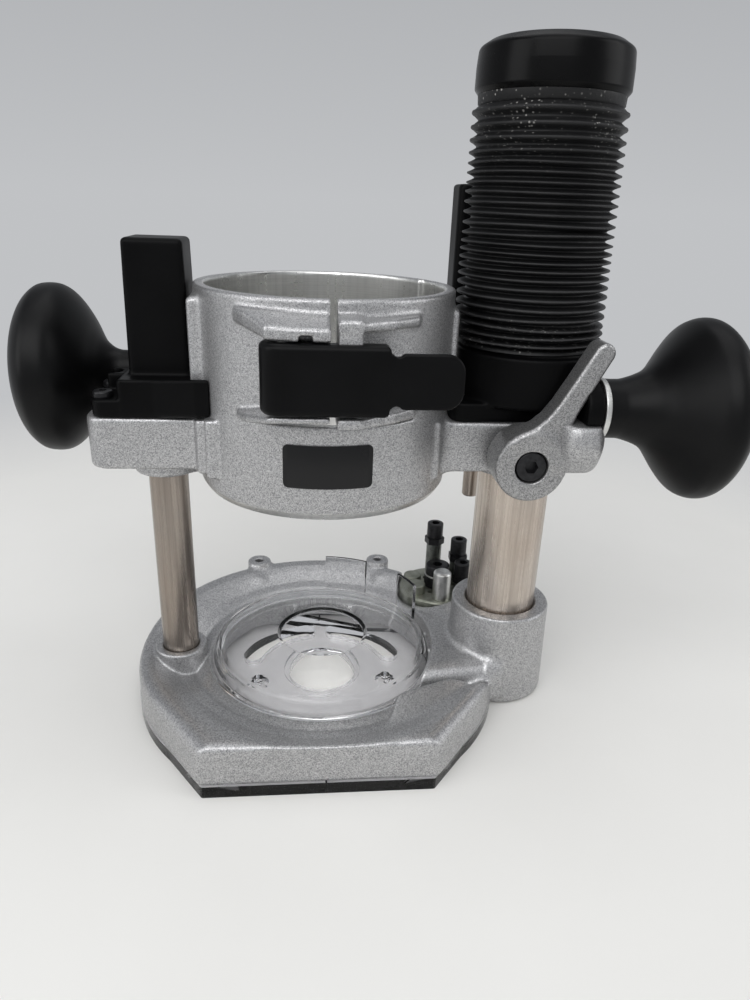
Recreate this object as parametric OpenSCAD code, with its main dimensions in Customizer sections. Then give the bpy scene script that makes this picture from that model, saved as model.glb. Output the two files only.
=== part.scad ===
// Plunge base of a woodworking router, without its motor.
// Origin: on the sole plane, on the cutter axis. +Z up, +X towards the large column, -Y is the flat front.

/* [Base] */
// Radius of the sole's curved edge
base_r = 79; // [70:0.5:90]
// Distance from the cutter axis to the flat front of the sole
front_d = 71; // [60:0.5:80]
// Thickness of the clear sole plate
sole_t = 5; // [3:0.5:8]
// Half width of the sole's flat front edge
front_hx = 43.5; // [35:0.5:55]
// Height of the casting's rim
rim_z = 21.6; // [14:0.1:28]
// Radius of the casting's central opening
ring_r = 48; // [40:0.5:52]
// Height of the casting at the central opening
ring_z = 16; // [10:0.5:20]
// Radius of the template guide bore in the sole plate
guide_r = 15.1; // [12:0.05:20]
// Distance of each edge guide hole from the centre line
guide_boss_x = 32; // [25:0.5:40]

/* [Columns] */
// X position of the small column
small_x = -62.4; // [-70:0.1:-55]
// Radius of the small column
small_r = 7.7; // [6:0.1:10]
// Height of the small column's top
small_top = 124; // [110:1:140]
// X position of the large dust column
large_x = 80; // [70:0.5:90]
// Radius of the large dust column
large_r = 15; // [12:0.1:18]
// Height of the large column's top
large_top = 172; // [150:1:190]
// Radial clearance between a column and its bush
bush_gap = 0.05; // [0.02:0.01:0.1]

/* [Motor clamp] */
// Radius of the motor clamp bore
motor_r = 44.45; // [40:0.05:50]
// Outer radius of the clamp collar
collar_r = 48.5; // [45:0.5:56]
// Height of the collar's lower edge
collar_z0 = 101; // [90:0.5:110]
// Height of the collar's upper edge
collar_z1 = 177; // [160:0.5:190]
// Height of the slit under the clamping band
slit_z = 135.6; // [130:0.1:145]

/* [Arms] */
// Height of the arms' underside
arm_z0 = 110; // [100:0.5:115]
// Height of the arms' top face
arm_z1 = 130; // [120:0.5:140]
// Half depth of the left arm
arm_hy = 20; // [14:0.5:24]

/* [Handles] */
// Height of the handle axis
handle_z = 138.5; // [130:0.5:150]
// Y position of the left handle axis
left_handle_y = 20; // [10:0.5:25]
// Y position of the right handle axis
right_handle_y = -33; // [-40:0.5:-20]
// Largest radius of a handle
handle_r = 33; // [28:0.5:38]

/* [Bellows] */
// Largest radius of a bellows fold
fold_r = 28.2; // [24:0.1:32]
// Smallest outer radius between the folds
valley_r = 24.6; // [20:0.1:30]
// X position of the bellows' axis
bellows_x = 79; // [76:0.1:82]
// Height of the bellows' lower end
bellows_z0 = 150; // [140:1:160]
// Height of the bellows' upper end
bellows_z1 = 241; // [220:1:260]
// Number of folds
folds = 26; // [10:1:32]
// Radius of the top cap
cap_r = 27; // [24:0.2:32]
// Height of the cap's top
cap_top = 259; // [245:1:270]

/* [Depth stop] */
// Turret axis, X
turret_x = 61.3; // [55:0.1:70]
// Turret axis, Y
turret_y = 52; // [48:0.5:60]
// Radius of the turret disc
turret_r = 19.6; // [15:0.1:24]
// Radius of the stop stations on the turret
station_r = 13.6; // [10:0.1:16]
// Height of the rod's lower end
rod_z0 = 74; // [60:1:90]
// Radius of the depth rod
rod_r = 3.9; // [3:0.1:5]
// Height of the depth tower
tower_z1 = 213.7; // [180:1:230]

/* [Hidden] */
$fn = 96;
eps = 0.01;
big = 400;
gap = 0.3;
T = [turret_x, turret_y];
rod_x = turret_x + station_r * cos(30);
rod_y = turret_y - station_r * sin(30);
outline_x = -1.3;
outline_y = 1.5;
front_x = -2.5;
facet_x = 59;
facet_y = -49;
box_x = small_x - 0.2 + 2;
box_hx = 11.4;
box_hy = 12;
cover_z0 = arm_z1;
cover_z1 = 191.5;
flange_z1 = 141.5;
flange_z0 = 136.5;
tower_x0 = 56;
tower_x1 = 82;
tower_y0 = 39;
tower_y1 = 56;
lock_x = 73.7;
lock_z = 118.8;
hub_y = -41;
hub_t = 15;
hub_r = 13.2;
clamp_x = -14.7;
clamp_y = -54.3;
clamp_eye_r = 7.2;
lever_back = clamp_y - clamp_eye_r + 2.4;
link_x1 = 17;
lug_x1 = 10;
clamp_mid_z = 154.5;
cover_screw_y = [-14, 2];
cover_screw_x = -81;
tower_screw_y = [43, 51];
tower_screw_x = 61;
clamp_pin_r = 2;
lever_z0 = 144;
lever_z1 = 165.2;
lug_z0 = 138;
lug_z1 = 172.6;
socket_r = 22.3;
boss_r = 20.4;
pitch = (bellows_z1 - bellows_z0) / folds;

// Solid of revolution about the part's own Z from a list of [radius, height] points
module turned(points) {
    rotate_extrude()
        polygon(points);
}

// Cylinder from one height to another, at a plan position
module post(x, y, r, z0, z1) {
    translate([x, y, z0])
        cylinder(r = r, h = z1 - z0);
}

// Box given by its low and high corners
module block(lo, hi) {
    translate(lo)
        cube(hi - lo);
}

// Upright box with rounded vertical edges
module soft_block(lo, hi, r) {
    block([lo[0] + r, lo[1], lo[2]], [hi[0] - r, hi[1], hi[2]]);
    block([lo[0], lo[1] + r, lo[2]], [hi[0], hi[1] - r, hi[2]]);
    for (x = [lo[0] + r, hi[0] - r], y = [lo[1] + r, hi[1] - r])
        post(x, y, r, lo[2], hi[2]);
}

// Socket head or button head screw pointing down, head underside at the origin
module cap_screw(head_r, head_h, shank_r, shank_h, hex_r) {
    difference() {
        union() {
            cylinder(r = head_r, h = head_h);
            translate([0, 0, -shank_h])
                cylinder(r = shank_r, h = shank_h + eps);
        }
        translate([0, 0, head_h / 2])
            cylinder(r = hex_r, h = head_h, $fn = 6);
    }
}

// Countersunk screw pointing up, its face at the origin
module sunk_screw(head_r, shank_r, length) {
    difference() {
        union() {
            cylinder(r1 = head_r, r2 = shank_r, h = head_r - shank_r);
            cylinder(r = shank_r, h = length);
        }
        translate([-head_r, -0.5, -eps])
            cube([2 * head_r, 1, 1]);
    }
}

sole_screw_angles = [52, 128, 232, 308];
sole_screw_r = 65;
slot_r = 34.2;
slot_w = 4.6;

// Plan outline of the sole: a disc with a flat, facetted front
module outline(r, front, z0, z1) {
    difference() {
        union() {
            post(outline_x, outline_y, r, z0, z1);
            translate([0, 0, z0])
                linear_extrude(height = z1 - z0)
                    polygon([[front_x - facet_x, facet_y], [front_x - front_hx, -front],
                        [front_x + front_hx, -front], [front_x + facet_x, facet_y]]);
        }
        block([-big / 2, -big, z0 - 1], [big / 2, -front, z1 + 1]);
    }
}

module whole_base() {
    difference() {
        union() {
            difference() {
                union() {
                    outline(base_r - 0.8, front_d - 1.5, sole_t, rim_z - 3.6);
                    outline(base_r - 2.6, front_d - 2, rim_z - 3.6, rim_z - 1.2);
                    outline(base_r - 5.6, front_d - 3.4, rim_z - 1.2, rim_z);
                }
                turned([[0, -1], [ring_r, -1], [ring_r, ring_z], [ring_r + 8, ring_z], [ring_r + 9, ring_z + 0.8],
                    [62.3, ring_z + 1.7], [68.5, rim_z - 1], [71, 60], [0, 60]]);
            }
            post(small_x, 0, 11, sole_t, 20);
            post(small_x, 0, 10, 20, 21);
            translate([large_x, 0, 0.6])
                cylinder(r1 = 22.2, r2 = 21.4, h = 40.8);
            post(large_x, 0, 20.5, 41.4, 42.4);
            difference() {
                union() {
                    translate([0, 0, sole_t])
                        linear_extrude(height = 13.4)
                            polygon([[44, -26], [70, -25], [70, 8], [61, 12.5], [44, 23]]);
                    translate([0, 0, sole_t])
                        linear_extrude(height = 18.4)
                            polygon([[44, -23], [70, -22], [70, 6], [61, 10.5], [44, 21]]);
                }
                post(0, 0, ring_r + 1, 0, ring_z);
                post(0, 0, ring_r + 3, ring_z - 1, 60);
            }
            post(T[0], T[1], 21.5, sole_t, 13.1);
            for (s = [-1, 1]) {
                post(s * guide_boss_x, 74, 5.4, sole_t, 24);
                translate([s * guide_boss_x, 61, 14.6])
                    rotate([-90, 0, 0])
                        cylinder(r = 5, h = 18);
            }
        }
        post(T[0], T[1], turret_r + 0.6, 13.1, 60);
        post(small_x, 0, small_r, 8, 40);
        post(large_x, 0, large_r, 8, 60);
        post(large_x, 0, large_r + 1.2, 40.8, 60);
        post(large_x, 0, large_r - 1.8, 7, 9);
        block([ring_r - 1, -9, 7.5], [large_x, 9, 18.5]);
        for (s = [-1, 1])
            post(s * guide_boss_x, 74, 2.1, 13, 30);
        for (s = [-1, 1])
            translate([s * guide_boss_x, 50, 14.6])
                rotate([-90, 0, 0])
                    cylinder(r = 3, h = 50);
        post(T[0], T[1], 3, 8, 20);
        for (a = sole_screw_angles)
            post(sole_screw_r * cos(a), sole_screw_r * sin(a), 2, 4, 12);
        translate([small_x - 12, 0, 14])
            rotate([0, 90, 0])
                cylinder(r = 1.6, h = 12);
        translate([large_x + 10, 0, 22])
            rotate([0, 90, 0])
                cylinder(r = 2.5, h = 20);
    }
}

// The casting without the tube that holds the large column
module base_casting() color([0.62, 0.64, 0.67]) {
    difference() {
        whole_base();
        post(large_x, 0, socket_r, 0, 60);
    }
}

// The tube that holds the large column, open on its left to the dust tunnel
module column_socket() color([0.62, 0.64, 0.67]) {
    intersection() {
        whole_base();
        post(large_x, 0, socket_r, 0, 60);
    }
}

// Outline of the curved slot on one side of the guide bore
function kidney(s) = concat(
    [for (a = [12:2:70]) (slot_r + slot_w) * [s * sin(a), cos(a)]],
    [for (b = [15:15:165]) slot_r * [s * sin(70), cos(70)] + slot_w * [s * sin(70 + b), cos(70 + b)]],
    [for (a = [70:-2:12]) (slot_r - slot_w) * [s * sin(a), cos(a)]],
    [for (b = [15:15:165]) slot_r * [s * sin(12), cos(12)] - slot_w * [s * sin(12 + b), cos(12 + b)]]);

module sole_plate() color([0.35, 0.36, 0.40, 0.5]) {
    difference() {
        union() {
            outline(base_r, front_d, 0, sole_t);
            post(T[0], T[1], 21.5, 0, sole_t);
        }
        post(large_x, 0, 22.6, -1, sole_t + 1);
        post(0, 0, guide_r, -1, sole_t + 1);
        post(0, 0, guide_r + 2.35, sole_t - 1.6, sole_t + 1);
        for (s = [-1, 1]) {
            post(s * 28.8, -6.6, 2.2, -1, sole_t + 1);
            translate([s * 28.8, -6.6, -eps])
                cylinder(r1 = 4.4, r2 = 2.2, h = 2.2);
            translate([0, 0, -1])
                linear_extrude(height = sole_t + 2)
                    polygon(kidney(s));
        }
        for (a = sole_screw_angles)
            translate([sole_screw_r * cos(a), sole_screw_r * sin(a), 0]) {
                post(0, 0, 2.2, -1, sole_t + 1);
                translate([0, 0, -eps])
                    cylinder(r1 = 4.6, r2 = 2.2, h = 2.8);
            }
    }
}

module sole_screws() color([0.12, 0.12, 0.13]) {
    for (a = sole_screw_angles)
        translate([sole_screw_r * cos(a), sole_screw_r * sin(a), 0.6])
            sunk_screw(4, 1.95, 10.5);
}

module chip_shroud() color([0.86, 0.89, 0.92, 0.35]) {
    turned([[ring_r - 2.2, ring_z - 3], [ring_r - 0.2, ring_z - 3], [ring_r - 0.2, ring_z],
        [ring_r + 2.4, ring_z], [ring_r + 2.4, ring_z + 1.4], [ring_r + 0.2, ring_z + 1.8],
        [47, 21.5], [45.6, 23], [43, 23.6], [20, 26], [18.6, 25.4], [18.6, 24.2], [43, 21.4],
        [44.4, 20.4], [45.2, ring_z]]);
    rotate([0, 0, 17])
        rotate_extrude(angle = 21)
            translate([45.2, 20.8])
                square([1.5, 19.2]);
    rotate([0, 0, 58])
        rotate_extrude(angle = 24)
            translate([45.2, 20.8])
                square([1.5, 19.2]);
}

module small_column() color([0.66, 0.62, 0.57]) {
    difference() {
        post(small_x, 0, small_r, 8, small_top);
        post(small_x, 0, small_r - 2, 18, small_top + 1);
        translate([small_x - 12, 0, 14])
            rotate([0, 90, 0])
                cylinder(r = 1.6, h = 12);
    }
}

module small_column_pin() color([0.2, 0.2, 0.21]) {
    translate([small_x - 10.9, 0, 14])
        rotate([0, 90, 0])
            cylinder(r = 1.6, h = 10.9);
}

module large_column() color([0.66, 0.62, 0.57]) {
    difference() {
        post(large_x, 0, large_r, 8, large_top);
        post(large_x, 0, large_r - 1.8, 7, large_top + 1);
        block([large_x - 20, -8, 8], [large_x, 8, 18.5]);
        translate([large_x + 10, 0, 22])
            rotate([0, 90, 0])
                cylinder(r = 2.5, h = 20);
    }
}

module large_column_pin() color([0.2, 0.2, 0.21]) {
    difference() {
        translate([large_x + large_r - 1.6, 0, 22])
            rotate([0, 90, 0])
                cylinder(r = 2.5, h = 7.6);
        translate([large_x + large_r + 4, 0, 22])
            rotate([0, 90, 0])
                cylinder(r = 1.4, h = 4, $fn = 6);
    }
}

spring_z0 = 18;
spring_z1 = 184;
spring_turns = 21;

module return_spring() color([0.5, 0.5, 0.52]) {
    translate([small_x, 0, spring_z0])
        linear_extrude(height = spring_z1 - spring_z0, twist = -360 * spring_turns, slices = spring_turns * 14, $fn = 8)
            translate([4.2, 0])
                circle(r = 0.75, $fn = 8);
}

module turret_pivot() color([0.5, 0.5, 0.5]) {
    post(T[0], T[1], 3, 8, 20);
}

module station(angle) {
    translate([T[0] + station_r * cos(angle), T[1] + station_r * sin(angle), 0])
        children();
}

disc_z0 = 13.4;
disc_z1 = 20;

module turret_disc() color([0.36, 0.36, 0.33]) {
    difference() {
        union() {
            post(T[0], T[1], turret_r - 0.6, disc_z0, disc_z0 + 0.6);
            post(T[0], T[1], turret_r, disc_z0 + 0.6, disc_z1 - 0.6);
            post(T[0], T[1], turret_r - 0.6, disc_z1 - 0.6, disc_z1);
            station(150)
                post(0, 0, 4.6, disc_z0 + 2, 22.6);
            station(210)
                post(0, 0, 4.6, disc_z0 + 2, 24.6);
        }
        post(T[0], T[1], 3.05, 10, 40);
        for (a = [-30, 30, 90])
            station(a)
                post(0, 0, 2.5, 10, 60);
        station(-90)
            post(0, 0, 2.6, disc_z0 + 2, 60);
    }
}

module turret_screw() color([0.08, 0.08, 0.09]) {
    translate([T[0], T[1], 27]) {
        cap_screw(6.2, 5, 2.9, 6.7, 2.5);
        difference() {
            translate([0, 0, -6.7])
                cylinder(r = 6.6, h = 5.8);
            translate([0, 0, -7])
                cylinder(r = 2.9, h = 8);
        }
    }
}

module stop_screws() color([0.07, 0.07, 0.08]) {
    station(-30)
        translate([0, 0, 29])
            cap_screw(4.4, 7.4, 2.45, 15, 2.3);
    station(30)
        translate([0, 0, 35.6])
            cap_screw(4.2, 7.5, 2.45, 21.6, 2.3);
    station(90)
        translate([0, 0, 41.5])
            cap_screw(4.2, 8, 2.45, 27.5, 2.3);
}

module stop_nuts() color([0.09, 0.09, 0.10]) {
    for (s = [[-30, 25.6], [30, 31.2], [90, 38.1]])
        station(s[0])
            translate([0, 0, s[1]])
                difference() {
                    cylinder(r = 5.2, h = 3.4, $fn = 6);
                    translate([0, 0, -1])
                        cylinder(r = 2.5, h = 6);
                }
}

module stop_sleeve() color([0.3, 0.3, 0.31]) {
    for (s = [[-30, 25.6], [30, 31.2], [90, 38.1]])
        station(s[0])
            difference() {
                post(0, 0, 4, disc_z1, s[1]);
                post(0, 0, 2.55, 10, 50);
            }
}

module stop_pin() color([0.7, 0.7, 0.72]) {
    station(-90) {
        post(0, 0, 2.6, disc_z0 + 2, disc_z1);
        post(0, 0, 4.5, disc_z1, 34.4);
        post(0, 0, 3.9, 34.4, 35);
    }
}

module whole_housing() {
    difference() {
        union() {
            turned([[motor_r, collar_z0], [collar_r - 1.6, collar_z0], [collar_r, collar_z0 + 3.4],
                [collar_r, collar_z1 - 1], [collar_r - 0.8, collar_z1], [motor_r, collar_z1]]);
            difference() {
                union() {
                    soft_block([-88, -arm_hy, arm_z0], [-30, arm_hy, arm_z1], 7);
                    post(small_x, 0, 12.6, 104, arm_z0 + 1);
                    soft_block([30, -22, arm_z0], [103, 24, arm_z1], 8);
                    post(large_x, 0, 20, 106, arm_z0 + 1);
                    soft_block([40, 10, arm_z0], [86, 58, arm_z1], 8);
                    translate([98, right_handle_y, handle_z])
                        rotate([0, 90, 0])
                            cylinder(r = 11, h = 3.5);
                    soft_block([90, right_handle_y - 5, arm_z0 + 2], [101.5, -15, arm_z1], 3);
                    block([98, right_handle_y - 8, arm_z1 - 5], [101.5, right_handle_y + 8, handle_z]);
                    translate([-74, left_handle_y, handle_z])
                        rotate([0, 90, 0])
                            cylinder(r = 7.8, h = 34);
                    block([-74, 13, arm_z1 - 2], [-40, 27, handle_z]);
                    for (z = [[lug_z0, lever_z0 - 0.4], [lever_z1 + 0.7, lug_z1]])
                        translate([0, 0, z[0]])
                            linear_extrude(height = z[1] - z[0]) {
                                polygon([[0, -40], [-27, -36], [-27.5, -43.5], [-22, -53.5], [-18, -58.5],
                                    [-12, -60], [0, -60.5]]);
                                polygon([[0, -60.5], [9.5, -60], [28, -47.5], [29.5, -44], [29, -36], [0, -40]]);
                            }
                    block([1.3, clamp_y + gap, lug_z0], [lug_x1, -44, lug_z1]);
                    block([1.3, lever_back + gap, lever_z0 + 2], [lug_x1, -44, lever_z1 - 2]);
                    for (x = [-45.8, 46])
                        block([x - 2.5, -14, 143], [x + 2.5, -8, collar_z1 - 6]);
                }
                post(0, 0, motor_r + 1, 90, 200);
            }
        }
        block([-1.4, -80, slit_z], [1.4, -30, 200]);
        intersection() {
            difference() {
                post(0, 0, 60, slit_z, slit_z + 1.5);
                post(0, 0, motor_r - 1, slit_z - 1, slit_z + 3);
            }
            block([-27, -80, 100], [30, -30, 200]);
        }
        rotate([0, 0, 62])
            block([motor_r - 3, -5, 100], [motor_r + 1.4, 5, 200]);
        post(small_x, 0, small_r + 1.9, 100, 150);
        post(large_x, 0, large_r + 2, 100, 150);
        post(rod_x, rod_y, rod_r + 0.3, 100, 150);
        post(clamp_x, clamp_y, clamp_pin_r, 130, 180);
        block([-7, -62, 130], [-3.6, -58, 180]);
        translate([lock_x, 0, lock_z])
            rotate([90, 0, 0])
                cylinder(r = 5, h = 60);
        translate([90, right_handle_y, handle_z])
            rotate([0, 90, 0])
                cylinder(r = 4, h = 20);
        translate([-80, left_handle_y, handle_z])
            rotate([0, 90, 0])
                cylinder(r = 4, h = 26);
        translate([-100, left_handle_y, handle_z])
            rotate([0, 90, 0])
                cylinder(r = 13.5, h = 26);
        for (y = cover_screw_y)
            post(cover_screw_x, y, 1.9, arm_z0 + 6, 150);
        for (y = tower_screw_y) {
            post(tower_screw_x, y, 1.9, 100, 150);
            post(tower_screw_x, y, 3.7, 100, arm_z0 + 3);
        }
        translate([-5, clamp_y, clamp_mid_z])
            rotate([0, 90, 0])
                cylinder(r = 2.6, h = 30);
    }
}

// Collar, arms and lugs, without the boss round the large column
module motor_housing() color([0.62, 0.64, 0.67]) {
    difference() {
        whole_housing();
        post(large_x, 0, boss_r, 100, 150);
    }
}

// The right arm's boss, which carries the large column's bush
module column_boss() color([0.62, 0.64, 0.67]) {
    intersection() {
        whole_housing();
        post(large_x, 0, boss_r, 100, 150);
    }
}

module small_bush() color([0.62, 0.47, 0.25]) {
    difference() {
        post(small_x, 0, small_r + 1.9, 104, 128);
        post(small_x, 0, small_r + bush_gap, 100, 140);
    }
}

module large_bush() color([0.62, 0.47, 0.25]) {
    difference() {
        post(large_x, 0, large_r + 2, 106, 129);
        post(large_x, 0, large_r + bush_gap, 100, 140);
        translate([lock_x, 0, lock_z])
            rotate([90, 0, 0])
                cylinder(r = 4.2, h = 40);
    }
}

module label_plate() color([0.03, 0.03, 0.035]) {
    rotate([0, 0, -90 - 18.4])
        rotate_extrude(angle = 36.8)
            translate([collar_r, 113.6])
                square([0.5, 15.6]);
}

module left_cover() color([0.035, 0.035, 0.04]) {
    difference() {
        union() {
            soft_block([-85, -arm_hy, cover_z0], [-40, arm_hy - 10, flange_z0], 5);
            soft_block([-75, -arm_hy, cover_z0], [-40, arm_hy - 10, flange_z1], 3);
            soft_block([box_x - box_hx, -box_hy, flange_z0], [box_x + box_hx, box_hy - 0.6, cover_z1 - 1], 2.5);
            soft_block([box_x - box_hx + 1, -box_hy + 1, cover_z1 - 2],
                [box_x + box_hx - 1, box_hy - 1.6, cover_z1], 2.5);
        }
        post(small_x, 0, small_r + 0.5, 120, spring_z1 + 2);
        for (y = cover_screw_y)
            post(cover_screw_x, y, 1.9, 120, 150);
        translate([-100, left_handle_y, handle_z])
            rotate([0, 90, 0])
                cylinder(r = 13.5, h = 26);
        post(0, 0, collar_r + 0.2, 120, 200);
    }
}

module cover_screws() color([0.02, 0.02, 0.02]) {
    for (y = cover_screw_y)
        translate([cover_screw_x, y, flange_z0])
            cap_screw(3.6, 2.4, 1.85, 16, 1.5);
}

module bellows_base() color([0.035, 0.035, 0.04]) {
    difference() {
        union() {
            soft_block([46, -21.5, arm_z1], [100, 24, arm_z1 + 7], 6);
            post(bellows_x, 0, 28.9, arm_z1 + 6, 149);
            post(bellows_x, 0, 26, 148, bellows_z0);
        }
        post(large_x, 0, large_r + 2, 120, 160);
        post(0, 0, collar_r + 0.2, 120, 200);
        block([tower_x0 - 10, tower_y0 - 15.3, 120], [tower_x1 + 0.4, 60, 160]);
        translate([90, right_handle_y, handle_z])
            rotate([0, 90, 0])
                cylinder(r = 11.4, h = 12);
    }
}

function fold_out(k) = fold_r - 1.2 * k / (folds - 1);
function fold_points() = [for (k = [0:folds - 1], j = [0:3])
    [[valley_r, fold_out(k), fold_out(k), valley_r][j], bellows_z0 + pitch * (k + [0.1, 0.4, 0.7, 0.95][j])]];

module bellows() color([0.05, 0.05, 0.055]) {
    translate([bellows_x, 0, 0])
        difference() {
            turned(concat([[0, bellows_z0], [valley_r, bellows_z0]], fold_points(),
                [[valley_r, bellows_z1], [0, bellows_z1]]));
            translate([0, 0, bellows_z0 - 1])
                cylinder(r = valley_r - 2, h = bellows_z1 - bellows_z0 + 2);
        }
}

module bellows_cap() color([0.045, 0.045, 0.05]) {
    translate([bellows_x, 0, 0])
        turned([[0, 255], [valley_r - 2, 255], [valley_r - 2, bellows_z1], [cap_r - 1.4, bellows_z1],
            [cap_r - 0.4, bellows_z1 + 0.6], [cap_r, bellows_z1 + 1.8], [cap_r - 0.2, 252],
            [cap_r - 0.8, 254.6], [cap_r - 2.4, 256.8], [cap_r - 5, 257.9],
            [cap_r - 12, cap_top - 0.3], [0, cap_top]]);
}

knob_bolt_z = 29;
knob_head_z = 35;
knob_plug_z = 38.5;

module knob_shape() {
    difference() {
        turned([[0, 0], [10.8, 0], [10.8, 2], [11.6, 5.2], [12.8, 8.4], [13.6, 11], [14.6, 13.7], [16.4, 15.5],
            [18.8, 17.3], [21.4, 19.1], [24, 20.9], [26.7, 22.8], [29.2, 24.6], [31.1, 26.4], [32.4, 28.2],
            [handle_r, 30.8], [handle_r, 33], [32.3, 34.8], [30.6, 36.6], [28.3, 38.4], [25, 40.4], [20, 42.3],
            [12, 43.8], [0, 44.4]]);
        translate([0, 0, -1])
            cylinder(r = 4, h = knob_bolt_z + 1);
        translate([0, 0, knob_bolt_z - 1])
            cylinder(r = 5.2, h = knob_plug_z - knob_bolt_z + 2);
        translate([0, 0, knob_plug_z])
            cylinder(r = 6.5, h = 10);
    }
}

module left_handle() color([0.04, 0.04, 0.045]) {
    translate([-76, left_handle_y, handle_z])
        rotate([0, -90, 0])
            knob_shape();
}

module right_handle() color([0.04, 0.04, 0.045]) {
    translate([103.5, right_handle_y, handle_z])
        rotate([0, 90, 0])
            knob_shape();
}

module handle_washers() color([0.6, 0.6, 0.6]) {
    translate([-76, left_handle_y, handle_z])
        rotate([0, 90, 0])
            difference() {
                cylinder(r = 10, h = 2);
                translate([0, 0, -1])
                    cylinder(r = 4, h = 4);
            }
    translate([101.5, right_handle_y, handle_z])
        rotate([0, 90, 0])
            difference() {
                cylinder(r = 12.6, h = 2);
                translate([0, 0, -1])
                    cylinder(r = 4, h = 4);
            }
}

module handle_studs() color([0.45, 0.45, 0.46]) {
    translate([-76, left_handle_y, handle_z])
        rotate([0, -90, 0]) {
            translate([0, 0, -21])
                cylinder(r = 4, h = 21 + knob_bolt_z);
            translate([0, 0, knob_bolt_z])
                cylinder(r = 5.2, h = knob_head_z - knob_bolt_z);
        }
    translate([103.5, right_handle_y, handle_z])
        rotate([0, 90, 0]) {
            translate([0, 0, -7.8])
                cylinder(r = 4, h = 7.8 + knob_bolt_z);
            translate([0, 0, knob_bolt_z])
                cylinder(r = 5.2, h = knob_head_z - knob_bolt_z);
        }
}

module handle_plugs() color([0.04, 0.04, 0.045]) {
    translate([-76, left_handle_y, handle_z])
        rotate([0, -90, 0])
            translate([0, 0, knob_plug_z])
                cylinder(r = 6.5, h = 5.2);
    translate([103.5, right_handle_y, handle_z])
        rotate([0, 90, 0])
            translate([0, 0, knob_plug_z])
                cylinder(r = 6.5, h = 5.2);
}

module depth_tower() color([0.035, 0.035, 0.04]) {
    difference() {
        union() {
            soft_block([tower_x0, tower_y0, arm_z1], [tower_x1, tower_y1, tower_z1 - 1.5], 3);
            soft_block([tower_x0 + 1.5, tower_y0 + 1.5, tower_z1 - 2], [tower_x1 - 1.5, tower_y1 - 1.5, tower_z1], 2);
        }
        post(rod_x, rod_y, rod_r + 0.4, 100, 230);
        block([rod_x - 3.2, rod_y, 145], [rod_x + 3.2, tower_y1 + 1, 206]);
        translate([rod_x + 2, rod_y, 138])
            rotate([0, 90, 0])
                cylinder(r = 2.55, h = 10);
        for (y = tower_screw_y)
            post(tower_screw_x, y, 1.85, 120, arm_z1 + 12);
    }
}

module depth_plate() color([0.75, 0.75, 0.76]) {
    block([tower_x0 + 2, tower_y1, 142], [rod_x - 4, tower_y1 + 0.6, 208]);
}

module tower_screws() color([0.2, 0.2, 0.21]) {
    for (y = tower_screw_y)
        translate([tower_screw_x, y, arm_z0 + 3])
            mirror([0, 0, 1])
                cap_screw(3.5, 2.6, 1.85, 27, 1.5);
}

module depth_rod() color([0.55, 0.53, 0.50]) {
    post(rod_x, rod_y, rod_r - 0.5, rod_z0, rod_z0 + 0.6);
    post(rod_x, rod_y, rod_r, rod_z0 + 0.6, 205);
}

module depth_pointer() color([0.7, 0.12, 0.08]) {
    difference() {
        block([rod_x - 2.4, rod_y, 150], [rod_x + 2.4, tower_y1 + 0.8, 153]);
        post(rod_x, rod_y, rod_r, 140, 160);
    }
    block([rod_x - 4.6, tower_y1 + 0.9, 150.8], [rod_x + 2.4, tower_y1 + 2, 152.2]);
    block([rod_x - 2.4, tower_y1 + 0.7, 150], [rod_x + 2.4, tower_y1 + 2, 153]);
}

module rod_knob() color([0.04, 0.04, 0.045]) {
    translate([rod_x + rod_r + 0.35, rod_y, 138])
        rotate([0, 90, 0]) {
            cylinder(r = 2.5, h = 6);
            translate([0, 0, 5.4])
                cylinder(r = 4.5, h = 2.2);
            difference() {
                translate([0, 0, 7.4])
                    cylinder(r = 8, h = 8);
                for (k = [0:8])
                    rotate([0, 0, 40 * k])
                        translate([8.9, 0, 7])
                            cylinder(r = 1.7, h = 9);
            }
        }
}

// Cylinder along Y at a plan position, between two depths
module axle(x, z, r, y0, y1) {
    translate([x, y1, z])
        rotate([90, 0, 0])
            cylinder(r = r, h = y1 - y0);
}

module lock_stud() color([0.5, 0.5, 0.51]) {
    axle(lock_x, lock_z, 4.95, hub_y + 5, -20);
}

module lock_plug() color([0.72, 0.55, 0.25]) {
    axle(lock_x, lock_z, 4.1, -19.7, -15.4);
}

lever_angle = 60;
lever_len = 45.5;

module lock_lever() color([0.66, 0.67, 0.69]) {
    difference() {
        union() {
            axle(lock_x, lock_z, hub_r, hub_y, hub_y + hub_t);
            translate([lock_x, -30.2, lock_z])
                rotate([90, 0, 0])
                    rotate([0, 0, lever_angle])
                        linear_extrude(height = 10.4)
                            union() {
                                polygon([[4, -11.5], [9, -9], [13, -6.4], [18, -4.4], [24, -3.5], [34, -3.1],
                                    [lever_len, -2.8], [lever_len, 2.8], [34, 3.1], [24, 3.5], [18, 4.4],
                                    [13, 6.4], [9, 9], [4, 11.5]]);
                                translate([lever_len, 0])
                                    circle(r = 2.8);
                            }
        }
        axle(lock_x, lock_z, 4.95, hub_y + 5, -10);
        axle(lock_x, lock_z, 2.6, -50, -10);
        axle(lock_x, lock_z, 6.1, -50, hub_y + 5);
    }
}

module lock_screw() color([0.05, 0.05, 0.055]) {
    difference() {
        axle(lock_x, lock_z, 5.6, hub_y + 0.6, hub_y + 5);
        translate([lock_x, hub_y + 3, lock_z])
            rotate([90, 0, 0])
                cylinder(r = 2.6, h = 10, $fn = 6);
    }
}

module lock_spring() color([0.4, 0.4, 0.41]) {
    for (y = [-24.9, -23.3])
        translate([lock_x, y, lock_z])
            rotate([90, 0, 0])
                rotate_extrude()
                    translate([8, 0])
                        circle(r = 0.7, $fn = 24);
}

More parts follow.
